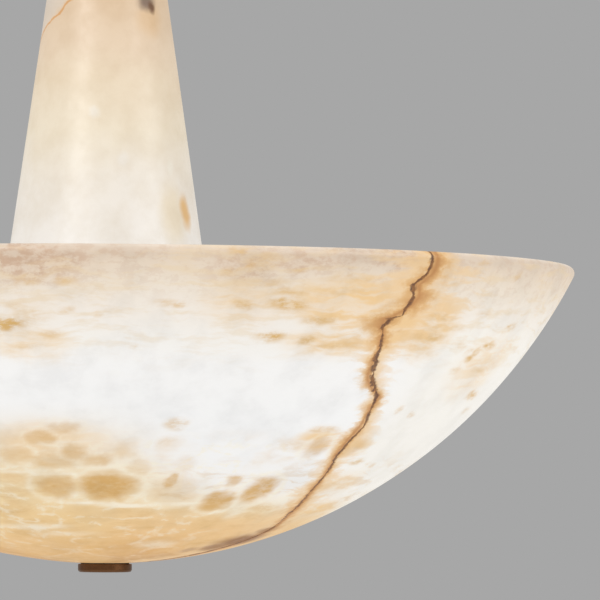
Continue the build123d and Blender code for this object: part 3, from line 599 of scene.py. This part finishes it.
def bowl_ground(graph, azimuth, drop, cloud, inner):
    """The stone's ground with the inner lamps' glow painted in: white in the middle, warmer at rim and foot
    where the painted glow is weaker, cream on the flank, honey at the low left.
    """
    wavy_drop = graph.plus(drop, graph.centred(cloud, 16.0))
    from_edge = graph.step(drop, 4.0, 24.0)
    mixed_drop = graph.plus(drop, graph.times(from_edge, graph.minus(wavy_drop, drop)))
    slant = graph.times(
        graph.step(azimuth, 3.0, 26.0), graph.step(drop, 98.0, 120.0), graph.step(drop, 166.0, 146.0), -24.0
    )
    colour = graph.ramp(graph.plus(mixed_drop, slant), BOWL_GLOW, DROPS[1])
    flank = graph.times(graph.step(azimuth, 40.0, 54.0), graph.step(azimuth, 118.0, 90.0))
    high = graph.times(graph.step(drop, 20.0, 60.0), graph.step(drop, 168.0, 146.0))
    colour = graph.tinted(colour, CREAM, graph.times(flank, high, 0.8))
    low_left = graph.times(graph.step(azimuth, 12.0, -8.0), inner, graph.step(drop, 88.0, 120.0))
    return graph.tinted(colour, HONEY, graph.times(low_left, 0.4))


def bowl_rim(graph, colour, place, drop, streak):
    """Mauve clouds and specks under the rim, and straw and ochre streaks in the upper and lower stone."""
    mottle = graph.step(graph.noise(place, (9.0, 9.0, 5.0), detail=5.0, roughness=0.7), 0.38, 0.62)
    clouded = graph.times(graph.attribute("cloud"), graph.plus(graph.times(mottle, 0.6), 0.2))
    colour = graph.tinted(colour, MAUVE, clouded)
    specks = graph.times(graph.step(mottle, 0.5, 1.0), graph.step(drop, 44.0, 10.0))
    colour = graph.tinted(colour, RIM_SPECK, graph.times(specks, 0.22))
    high_streaks = graph.times(graph.step(streak, 0.47, 0.66), graph.step(drop, 80.0, 40.0))
    colour = graph.tinted(colour, STRAW, graph.times(high_streaks, 0.42))
    low_streaks = graph.times(graph.step(streak, 0.5, 0.66), graph.step(drop, 112.0, 140.0))
    return graph.tinted(colour, OCHRE, graph.times(low_streaks, 0.35))


def bowl_stains(graph, colour, place, azimuth, drop, cloud, streak, inner):
    """Warm washes, tan stains, and the net of cells with pale edges in the lower stone."""
    washed = graph.times(graph.attribute("wash"), graph.step(streak, 0.36, 0.6, 0.45, 1.0))
    colour = graph.tinted(colour, WARM, washed)
    uneven = graph.noise(place, (10.0, 10.0, 4.0), detail=5.0, roughness=0.7)
    broken = graph.step(uneven, 0.36, 0.6, 0.3, 1.15)
    colour = graph.tinted(colour, TAN, graph.times(graph.attribute("stain"), broken))

    net = graph.cells(graph.shifted(place, 20.0, 9.0), (36.0, 36.0, 17.0))
    low = graph.times(graph.step(drop, 104.0, 122.0), graph.step(azimuth, 40.0, 26.0), inner)
    netted = graph.times(graph.step(net, 0.02, 0.3), low, graph.step(cloud, 0.36, 0.6))
    colour = graph.tinted(colour, NET_TAN, graph.times(netted, 0.5))
    outline = graph.times(graph.attribute("outline"), graph.plus(graph.times(broken, 0.5), 0.5))
    colour = graph.tinted(colour, OUTLINE_CREAM, graph.times(outline, 0.95))
    veins = graph.times(graph.step(net, 0.1, 0.0), low, graph.step(broken, 0.6, 1.1))
    colour = graph.tinted(colour, VEIN_CREAM, graph.times(veins, 0.5))
    cell_worn = graph.times(graph.attribute("cell"), graph.plus(graph.times(broken, 0.35), 0.6))
    colour = graph.tinted(colour, OCHRE, cell_worn)
    return graph.tinted(colour, AMBER, graph.step(drop, 160.0, 184.0, 0.0, 0.5))


def bowl_crack(graph, colour, place, azimuth, radius, drop, streak):
    """The crack: a dark core in an orange halo, in a pale stain. Returns the colour and the core's mask."""
    jag = graph.centred(graph.noise(place, 5.0, detail=4.0), 3.4)
    line = graph.curve(drop, crack_line, DROPS, CRACK_AZIMUTHS)
    aside = graph.math("RADIANS", graph.minus(azimuth, line))
    fine_jag = graph.centred(graph.noise(place, 1.8, detail=3.0), 1.6)
    distance = graph.plus(graph.times(aside, radius), jag, fine_jag)
    away = graph.size_of(distance)

    stain_width = graph.curve(drop, CRACK_STAIN, DROPS, (0.0, 120.0))
    sided = graph.step(distance, -20.0, 6.0, 0.9, 1.0)
    ragged = graph.over(away, graph.times(stain_width, sided, graph.step(streak, 0.36, 0.64, 0.5, 1.3)))
    colour = graph.tinted(colour, CRACK_WASH, graph.step(ragged, 1.15, 0.0, 0.0, 0.85))

    halo_side = graph.curve(drop, CRACK_SIDE, DROPS, (-10.0, 10.0))
    halo_away = graph.size_of(graph.minus(distance, halo_side))
    halo_width = graph.curve(drop, CRACK_HALO, DROPS, (0.0, 60.0))
    lobed = graph.noise(place, (13.0, 13.0, 7.0), detail=5.0, roughness=0.65)
    spread = graph.over(halo_away, graph.times(halo_width, graph.step(lobed, 0.3, 0.66, 0.35, 1.6)))
    halo = graph.ramp(spread, CRACK_HALO_STOPS)
    colour = graph.mix(graph.step(spread, 1.0, 0.0, 0.0, 0.92), colour, halo)
    colour = graph.tinted(colour, UMBER, graph.attribute("smear"))

    core_width = graph.curve(drop, CRACK_CORE, DROPS, (0.0, 8.0))
    break_up = graph.step(graph.noise(place, 5.0, detail=4.0), 0.3, 0.68, 0.25, 2.2)
    core = graph.step(graph.over(away, graph.times(core_width, break_up)), 1.2, 0.4)
    grain = graph.noise(place, 2.6, detail=4.0, roughness=0.65)
    core_colour = graph.mix(graph.step(grain, 0.4, 0.62), linear(*CRACK_DARK), linear(*CRACK_BROWN))
    return graph.mix(graph.times(core, 0.92), colour, core_colour), core


def veiled(graph, colour, place, size, stops):
    """Soft clouds in the stone, a little darker."""
    cloud = graph.noise(place, size, detail=5.0, roughness=0.6)
    return graph.mix(1.0, colour, graph.ramp(cloud, stops), "MULTIPLY")


def bowl_colour(graph, place):
    """The bowl's colour when lit from inside, and the crack's mask for the bump."""
    azimuth, _, _ = polar(graph, place)
    azimuth, radius, height = polar(graph, half_turned(graph, place, azimuth))
    drop = graph.minus(rim_z, height)
    cloud = graph.noise(place, (70.0, 70.0, 30.0), detail=4.0)
    streak = graph.noise(graph.shifted(place, 30.0, 6.0), (34.0, 34.0, 5.0), detail=5.0, roughness=0.6)
    inner = graph.step(azimuth, -58.0, -36.0)

    colour = bowl_ground(graph, azimuth, drop, cloud, inner)
    colour = bowl_rim(graph, colour, place, drop, streak)
    colour = bowl_stains(graph, colour, place, azimuth, drop, cloud, streak, inner)
    colour, core = bowl_crack(graph, colour, place, azimuth, radius, drop, streak)
    return veiled(graph, colour, place, 26.0, BOWL_VEIL), core


def bowl_dimming(graph, place):
    """The bowl's inside gives off less, because its facing walls light one another as well."""
    from_centre = graph.vector("DISTANCE", {0: place, 1: (0.0, 0.0, centre_z)}, "Value")
    low, high = cavity_radius + INSIDE_MARGIN, sphere_radius - OUTSIDE_MARGIN
    return graph.step(from_centre, low, high, INSIDE_SHARE, 1.0)


def stem_colour(graph, place):
    """The stem's colour with its lamps' glow painted in. It has no crack, so its mask is nought."""
    azimuth, _, height = polar(graph, place)
    above = graph.minus(height, rim_z)
    uneven = graph.shifted(place, 16.0, 4.0)
    wavy = graph.plus(above, graph.centred(graph.noise(place, 45.0), 30.0))
    glow_stops = [(at + stem_below_rim, tint) for at, tint in STEM_GLOW]
    colour = graph.ramp(graph.plus(wavy, stem_below_rim), glow_stops, stem_below_rim + stem_above_rim)

    # A tan line up the stem, and greyer stone on one side of it.
    stem_line_points = [on_stem(*pixel)[::-1] for pixel in STEM_LINE_PIXELS] + STEM_LINE_REST
    line = graph.curve(above, stem_line_points, STEM_LINE_HEIGHTS, WHOLE_TURN)
    bend = graph.centred(graph.noise(place, 9.0), 14.0)
    aside = graph.plus(graph.minus(azimuth, line), bend)
    reach = graph.times(graph.step(above, 128.0, 150.0), graph.step(above, 285.0, 230.0))
    beyond = graph.times(graph.step(aside, 0.0, -8.0), graph.step(aside, -90.0, -50.0), reach)
    colour = graph.tinted(colour, STEM_GREY_SIDE, graph.times(beyond, 0.55))
    on_line = graph.times(graph.step(graph.size_of(aside), 3.4, 0.6), reach)
    colour = graph.tinted(colour, STEM_LINE_TAN, graph.times(on_line, 0.8))

    marks = [(on_stem(*pixel), *rest) for pixel, *rest in STEM_SPOTS] + STEM_HIGH_SPOTS
    for at, *sizes, tint in marks:
        colour = graph.tinted(colour, tint, graph.spot(uneven, stem_axes(*at), *sizes))
    return veiled(graph, colour, place, 22.0, STEM_VEIL), 0.0


def stone(name, paint, lit, given_off, dimming=None):
    """Polished stone with painted glow: a share of its shown colour is lit from outside, and a share is given
    off as emission that stands in for the inner lamps' light through the stone.
    """
    material, graph, sockets = new_material(name)
    place = places(graph)
    colour, core = paint(graph, place)
    graph.feed(sockets["Base Color"], graph.dimmed(colour, lit))
    glow = graph.dimmed(colour, given_off)
    if dimming:
        glow = graph.mix(graph.minus(1.0, dimming(graph, place)), glow, (0.0, 0.0, 0.0, 1.0))
    graph.feed(sockets["Emission Color"], glow)
    sockets["Emission Strength"].default_value = 1.0
    graph.feed(sockets["Roughness"], graph.step(graph.noise(place, 9.0), 0.3, 0.7, 0.34, 0.5))
    fine = graph.times(graph.noise(place, 3.0, detail=5.0), 0.35)
    surface = graph.plus(fine, graph.noise(place, 30.0, detail=2.0))
    graph.feed(sockets["Normal"], graph.bump(graph.minus(surface, graph.times(core, 1.5)), 0.25, 0.5))
    return material


# ------------------------------------------------------------------ turned stone meshes

# Points along each run of the bowl's section.
OUTSIDE_POINTS, LIP_POINTS, INNER_LIP_POINTS, INSIDE_POINTS = 146, 8, 5, 24

# Degrees between the bowl's columns: least at the crack, more as they leave it, most on the far side.
CRACK_MEAN_AZIMUTH = 42.0
CRACK_COLUMN, COLUMN_GROWTH = 0.07, 0.034
SEEN_COLUMN, HIDDEN_COLUMN, SEEN_REACH = 0.5, 1.25, 62.0
LAST_COLUMN = 178.5
CRACK_PULL_REACH = 60

# How far the bowl's slow waves, ripples and crack lie under its true surface, and where they fade at the seat.
WAVE_DEPTH, RIPPLE_DEPTH = 0.1, 0.06
CRACK_DEPTH, CRACK_HALF_WIDTH = 0.45, 0.9
SEAT_RADIUS, SEAT_FADE = 25, 20

STEM_COLUMNS = 256
STEM_OUTSIDE_POINTS, STEM_INSIDE_POINTS, STEM_EDGE_POINTS = 120, 50, 5
STEM_FOOT_SET_BACK = 0.2
STEM_WAVE_DEPTH, STEM_END_FADE = 0.07, 10


def arc(centre, radius, start, end, count):
    """Points of an arc, from one angle to another in degrees."""
    return [
        (centre[0] + radius * cos(radians(a)), centre[1] + radius * sin(radians(a)))
        for a in np.linspace(start, end, count)
    ]


def closed_grid_faces(row_count, column_count):
    """The faces of a grid of points that closes on itself both ways."""
    row = np.arange(row_count)[:, None]
    column = np.arange(column_count)[None, :]
    next_row, next_column = (row + 1) % row_count, (column + 1) % column_count
    corners = [
        row * column_count + column,
        row * column_count + next_column,
        next_row * column_count + next_column,
        next_row * column_count + column,
    ]
    return np.stack(np.broadcast_arrays(*corners), -1).reshape(-1, 4)


def turned(name, section, azimuths, sink):
    """Turns a closed section of (radius, height) points. azimuths(radius, height) gives a row's columns, and
    sink(radius, height, columns) the depth by which they lie under the true surface."""
    section = np.array(section)
    along = np.roll(section, -1, 0) - np.roll(section, 1, 0)
    outward = np.stack([along[:, 1], -along[:, 0]], 1)
    outward /= np.linalg.norm(outward, axis=1)[:, None]
    rows = []
    for (radius, height), (out_r, out_z) in zip(section, outward):
        turn = azimuths(radius, height)
        depth = sink(radius, height, turn)
        shown_radius = radius - out_r * depth
        shown_height = height - out_z * depth
        angle = np.radians(turn)
        rows.append(np.stack([shown_radius * np.sin(angle), -shown_radius * np.cos(angle), shown_height], 1))
    points = np.array(rows) * MM
    faces = closed_grid_faces(*points.shape[:2])
    mesh = bpy.data.meshes.new(name)
    mesh.from_pydata(points.reshape(-1, 3).tolist(), [], faces.tolist())
    mesh.shade_smooth()
    made = bpy.data.objects.new(name, mesh)
    bpy.context.scene.collection.objects.link(made)
    return made


def bowl_section():
    """From the outer seat up the outside, over the lip, down the inside and back through the hole."""

    def turn_at(height, radius):
        """Angle below the horizon, in degrees, at which a sphere round the bowl's centre has this height."""
        return -degrees(asin((centre_z - height) / radius))

    def reach_at(height, radius):
        return sqrt(radius**2 - (centre_z - height) ** 2)

    centre = (0.0, centre_z)
    lip_z, lip_path = rim_z - lip_round, sphere_radius - lip_round
    inner_z, inner_path = rim_z - lip_inner_round, cavity_radius + lip_inner_round
    lip_turn, inner_turn = turn_at(lip_z, lip_path), turn_at(inner_z, inner_path)
    outer_seat_turn = turn_at(outer_seat_z, sphere_radius)
    inner_seat_turn = turn_at(inner_seat_z, cavity_radius)

    outside = arc(centre, sphere_radius, outer_seat_turn, lip_turn, OUTSIDE_POINTS)
    lip = arc((reach_at(lip_z, lip_path), lip_z), lip_round, lip_turn, 90, LIP_POINTS)[1:]
    inner_centre = (reach_at(inner_z, inner_path), inner_z)
    inner_lip = arc(inner_centre, lip_inner_round, 90, 180 + inner_turn, INNER_LIP_POINTS)
    inside = arc(centre, cavity_radius, inner_turn, inner_seat_turn, INSIDE_POINTS)[1:]
    hole = [(hole_radius, z) for z in (inner_seat_z, (inner_seat_z + outer_seat_z) / 2, outer_seat_z)]
    return outside + lip + inner_lip + inside + hole


def bowl_columns():
    """Azimuths from the crack's mean one, both ways round."""
    half = [0.0]
    while half[-1] < LAST_COLUMN:
        widest = SEEN_COLUMN if half[-1] < SEEN_REACH else HIDDEN_COLUMN
        half.append(half[-1] + min(widest, CRACK_COLUMN + COLUMN_GROWTH * half[-1]))
    half = np.array(half)
    return np.concatenate([half, [180.0], -half[:0:-1]])


def make_bowl():
    offsets = bowl_columns()
    pull = np.clip(1 - np.abs(offsets) / CRACK_PULL_REACH, 0, 1)

    def azimuths(radius, height):
        bend = crack_azimuth(rim_z - height) - CRACK_MEAN_AZIMUTH
        return CRACK_MEAN_AZIMUTH + offsets + bend * pull**2

    def sink(radius, height, columns):
        drop = rim_z - height
        angle = np.radians(columns)
        wave = WAVE_DEPTH * (1 + np.sin(3 * angle + drop / 27))
        ripple = RIPPLE_DEPTH * (1 + np.sin(8 * angle - drop / 13))
        away = np.radians(columns - crack_azimuth(drop)) * radius
        fade = np.clip((radius - SEAT_RADIUS) / SEAT_FADE, 0, 1)
        return fade * (wave + ripple + CRACK_DEPTH * np.exp(-((away / CRACK_HALF_WIDTH) ** 2)))

    bowl = turned("bowl_stone", bowl_section(), azimuths, sink)
    corners = np.empty(3 * len(bowl.data.vertices))
    bowl.data.vertices.foreach_get("co", corners)
    for name, values in bowl_masks(corners.reshape(-1, 3) / MM).items():
        bowl.data.attributes.new(name, "FLOAT", "POINT").data.foreach_set("value", values)
    bowl.data.materials.append(stone("stone_bowl", bowl_colour, BOWL_LIT, BOWL_GIVEN_OFF, bowl_dimming))
    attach(bowl, "bowl_body")
    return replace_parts(bowl, "alabaster_bowl")


def stem_section():
    """From the foot up the outside, over the top and down the inside, with small rounds at the corners."""
    lean = degrees(atan2(stem_slope, 1.0))
    edge = stem_edge_round
    low_out = (stem_base_radius - edge - STEM_FOOT_SET_BACK, stem_low.z + edge)
    high_out = (stem_top_radius - edge, stem_high.z - edge)
    high_in = (stem_top_radius - stem_wall + edge, stem_high.z - edge)
    low_in = (stem_base_radius - stem_wall + edge, stem_low.z + edge)
    foot = arc(low_out, edge, -90, lean, STEM_EDGE_POINTS)
    top = arc(high_out, edge, lean, 90, STEM_EDGE_POINTS)
    top_in = arc(high_in, edge, 90, 180 + lean, STEM_EDGE_POINTS)
    foot_in = arc(low_in, edge, 180 + lean, 270, STEM_EDGE_POINTS)
    outside = [tuple(p) for p in np.linspace(foot[-1], top[0], STEM_OUTSIDE_POINTS)[1:-1]]
    inside = [tuple(p) for p in np.linspace(top_in[-1], foot_in[0], STEM_INSIDE_POINTS)[1:-1]]
    return foot + outside + top + top_in + inside + foot_in


def make_stem():
    columns = np.linspace(-180, 180, STEM_COLUMNS, endpoint=False)

    def azimuths(radius, height):
        return columns

    def sink(radius, height, columns):
        from_end = min(1.0, (height - stem_low.z) / STEM_END_FADE, (stem_high.z - height) / STEM_END_FADE)
        return max(0.0, from_end) * STEM_WAVE_DEPTH * (1 + np.sin(3 * np.radians(columns) + height / 41))

    stem = turned("stem_stone", stem_section(), azimuths, sink)
    stem.data.materials.append(stone("stone_stem", stem_colour, STEM_LIT, STEM_GIVEN_OFF))
    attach(stem, "stem_body")
    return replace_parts(stem, "alabaster_stem")


# ------------------------------------------------------------------ other materials

GLOBE_AMBER, GLOBE_WHITE, GLOBE_GREY = (250, 228, 190), (255, 243, 220), (150, 146, 140)


def metal(name, dark, light, rough_low, rough_high, patch=12.0, line=0.5):
    """Worked metal: patches of two shades, and fine lines round the axis."""
    material, graph, sockets = new_material(name)
    place = places(graph)
    patches = graph.noise(place, patch, detail=5.0, roughness=0.6)
    colour = graph.mix(graph.step(patches, 0.35, 0.65), linear(*dark), linear(*light))
    graph.feed(sockets["Base Color"], colour)
    sockets["Metallic"].default_value = 1.0
    lines = graph.noise(place, (60.0, 60.0, line), detail=2.0)
    rough = graph.plus(graph.times(patches, 0.5), graph.times(lines, 0.5))
    graph.feed(sockets["Roughness"], graph.step(rough, 0.3, 0.7, rough_low, rough_high))
    graph.feed(sockets["Normal"], graph.bump(lines, 0.02, 0.4))
    return material


def dull(name, dark, light, rough_low, rough_high, patch=6.0, relief=0.03, grain=0.5):
    """Paint, plastic, rubber or ceramic: two close shades and a fine relief."""
    material, graph, sockets = new_material(name)
    place = places(graph)
    patches = graph.noise(place, patch, detail=4.0)
    colour = graph.mix(graph.step(patches, 0.35, 0.65), linear(*dark), linear(*light))
    graph.feed(sockets["Base Color"], colour)
    graph.feed(sockets["Roughness"], graph.step(patches, 0.3, 0.7, rough_low, rough_high))
    graph.feed(sockets["Normal"], graph.bump(graph.noise(place, grain, detail=3.0), relief, 0.5))
    return material


def opal_glass():
    """A lamp's frosted globe, brightest where its glass is thinnest."""
    material, graph, sockets = new_material("opal_glass")
    place = places(graph)
    cloud = graph.noise(place, 7.0, detail=3.0)
    glow = graph.mix(graph.step(cloud, 0.35, 0.65), linear(*GLOBE_AMBER), linear(*GLOBE_WHITE))
    graph.feed(sockets["Base Color"], graph.tinted(glow, GLOBE_GREY, 0.5))
    graph.feed(sockets["Emission Color"], glow)
    sockets["Emission Strength"].default_value = 1.0
    sockets["Roughness"].default_value = 0.3
    graph.feed(sockets["Normal"], graph.bump(graph.noise(place, 1.2), 0.02, 0.4))
    return material


MATERIALS = {
    "bronze": lambda: metal("bronze", (110, 76, 50), (126, 90, 62), 0.32, 0.46, patch=24.0),
    "zinc_steel": lambda: metal("zinc_steel", (176, 176, 172), (206, 206, 202), 0.24, 0.42, patch=5.0),
    "brass": lambda: metal("brass", (206, 172, 104), (226, 196, 130), 0.2, 0.34, patch=3.0),
    "white_steel": lambda: dull("white_steel", (226, 222, 214), (236, 233, 227), 0.35, 0.5, relief=0.05),
    "terminal_plastic": lambda: dull("terminal_plastic", (214, 211, 200), (224, 221, 212), 0.4, 0.55),
    "nylon": lambda: dull("nylon", (222, 219, 208), (232, 229, 220), 0.3, 0.45),
    "lead_sheath": lambda: dull("lead_sheath", (208, 205, 196), (220, 217, 209), 0.45, 0.6),
    "core_insulation": lambda: dull(
        "core_insulation", (196, 186, 164), (212, 203, 184), 0.5, 0.7, patch=2.0
    ),
    "silicone": lambda: dull("silicone", (66, 62, 58), (84, 80, 76), 0.6, 0.8),
    "holder_ceramic": lambda: dull(
        "holder_ceramic", (226, 222, 214), (238, 235, 229), 0.18, 0.3, relief=0.02
    ),
    "lamp_ceramic": lambda: dull("lamp_ceramic", (220, 215, 205), (232, 228, 220), 0.55, 0.75),
    "opal_glass": opal_glass,
}


def paint_nodes():
    """Gives each node of the frame the finish of its material slot."""
    made = {slot: build() for slot, build in MATERIALS.items()}
    for part in frame["record"]["subparts"]:
        slot = part["material_slot"]
        if slot in made:
            materials = frame["nodes"][part["node"]].data.materials
            materials.clear()
            materials.append(made[slot])


# ------------------------------------------------------------------ stage, light and camera

BACKDROP_GREY = linear(167, 167, 167)
FLOOR_GREY = linear(214, 213, 210)
FLOOR_SHADE = linear(206, 205, 202)
FLOOR_DROP_M = 2.3
FLOOR_RADIUS_M = 40.0
FLOOR_RINGS, FLOOR_COLUMNS = 6, 96
FLOOR_CLOUD_M = 0.6
WORLD_STRENGTH = 0.72
VIEW_REACH_M = 200.0

LAMP_AIM_M = (0, 0, -0.6)
LAMP_WIDTH_M = 2.4
LAMPS = {"key": ((-2.2, -2.6, 1.4), 80.0), "fill": ((2.8, -1.6, 0.4), 36.0)}


def make_floor():
    """A wide pale disc, which is clear when seen from below."""
    radii = np.linspace(0, FLOOR_RADIUS_M, FLOOR_RINGS + 1)[1:]
    points = [(0.0, 0.0, -FLOOR_DROP_M)]
    for radius in radii:
        for angle in np.linspace(0, 2 * pi, FLOOR_COLUMNS, endpoint=False):
            points.append((radius * cos(angle), radius * sin(angle), -FLOOR_DROP_M))
    faces = [(0, 1 + k, 1 + (k + 1) % FLOOR_COLUMNS) for k in range(FLOOR_COLUMNS)]
    for ring in range(FLOOR_RINGS - 1):
        near = 1 + ring * FLOOR_COLUMNS
        far = near + FLOOR_COLUMNS
        for k in range(FLOOR_COLUMNS):
            after = (k + 1) % FLOOR_COLUMNS
            faces.append((near + k, far + k, far + after, near + after))
    mesh = bpy.data.meshes.new("floor")
    mesh.from_pydata(points, [], faces)
    floor = bpy.data.objects.new("floor", mesh)
    bpy.context.scene.collection.objects.link(floor)
    material, graph, sockets = new_material("floor")
    own = graph.add("ShaderNodeTexCoord").outputs["Object"]
    graph.feed(sockets["Base Color"], graph.mix(graph.noise(own, FLOOR_CLOUD_M), FLOOR_GREY, FLOOR_SHADE))
    sockets["Roughness"].default_value = 0.8
    back = graph.add("ShaderNodeNewGeometry").outputs["Backfacing"]
    clear = graph.add("ShaderNodeBsdfTransparent").outputs[0]
    top = material.node_tree.nodes["Principled BSDF"].outputs[0]
    both = graph.add("ShaderNodeMixShader", {0: back, 1: top, 2: clear}).outputs[0]
    graph.feed(material.node_tree.nodes["Material Output"].inputs["Surface"], both)
    mesh.materials.append(material)
    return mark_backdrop(floor)


def make_world():
    """Even white light on the object, and a plain grey wall wherever a ray sees past it."""
    world = bpy.data.worlds.new("studio")
    world.use_nodes = True
    bpy.context.scene.world = world
    graph = Graph(world.node_tree)
    lit = world.node_tree.nodes["Background"]
    lit.inputs["Color"].default_value = (1.0, 1.0, 1.0, 1.0)
    lit.inputs["Strength"].default_value = WORLD_STRENGTH
    wall = graph.add("ShaderNodeBackground", {"Color": BACKDROP_GREY, "Strength": 1.0})
    rays = graph.add("ShaderNodeLightPath").outputs
    seen = graph.math("MAXIMUM", *(rays[f"Is {kind} Ray"] for kind in ("Camera", "Glossy", "Transmission")))
    both = graph.add("ShaderNodeMixShader", {0: seen, 1: lit.outputs[0], 2: wall.outputs[0]}).outputs[0]
    graph.feed(world.node_tree.nodes["World Output"].inputs["Surface"], both)


def make_lamp(name, place, power):
    """A soft round studio light. Its place is in metres."""
    data = bpy.data.lights.new(name, "AREA")
    data.shape = "DISK"
    data.size = LAMP_WIDTH_M
    data.energy = power
    lamp = bpy.data.objects.new(name, data)
    bpy.context.scene.collection.objects.link(lamp)
    lamp.location = place
    lamp.rotation_euler = (Vector(LAMP_AIM_M) - Vector(place)).to_track_quat("-Z", "Y").to_euler()


def make_camera():
    data = bpy.data.cameras.new("camera")
    data.sensor_width = SENSOR_WIDTH
    data.lens = SENSOR_WIDTH * FOCAL_PIXELS / PHOTO_SIDE
    data.clip_end = VIEW_REACH_M
    camera = bpy.data.objects.new("camera", data)
    bpy.context.scene.collection.objects.link(camera)
    camera.matrix_world = Matrix.Translation(CAMERA_PLACE * MM) @ camera_turn.to_4x4()
    bpy.context.scene.camera = camera


make_bowl()
make_stem()
paint_nodes()
make_floor()
make_world()
for lamp_name, (lamp_place, lamp_power) in LAMPS.items():
    make_lamp(lamp_name, lamp_place, lamp_power)
make_camera()
bpy.context.scene.view_settings.view_transform = "Standard"
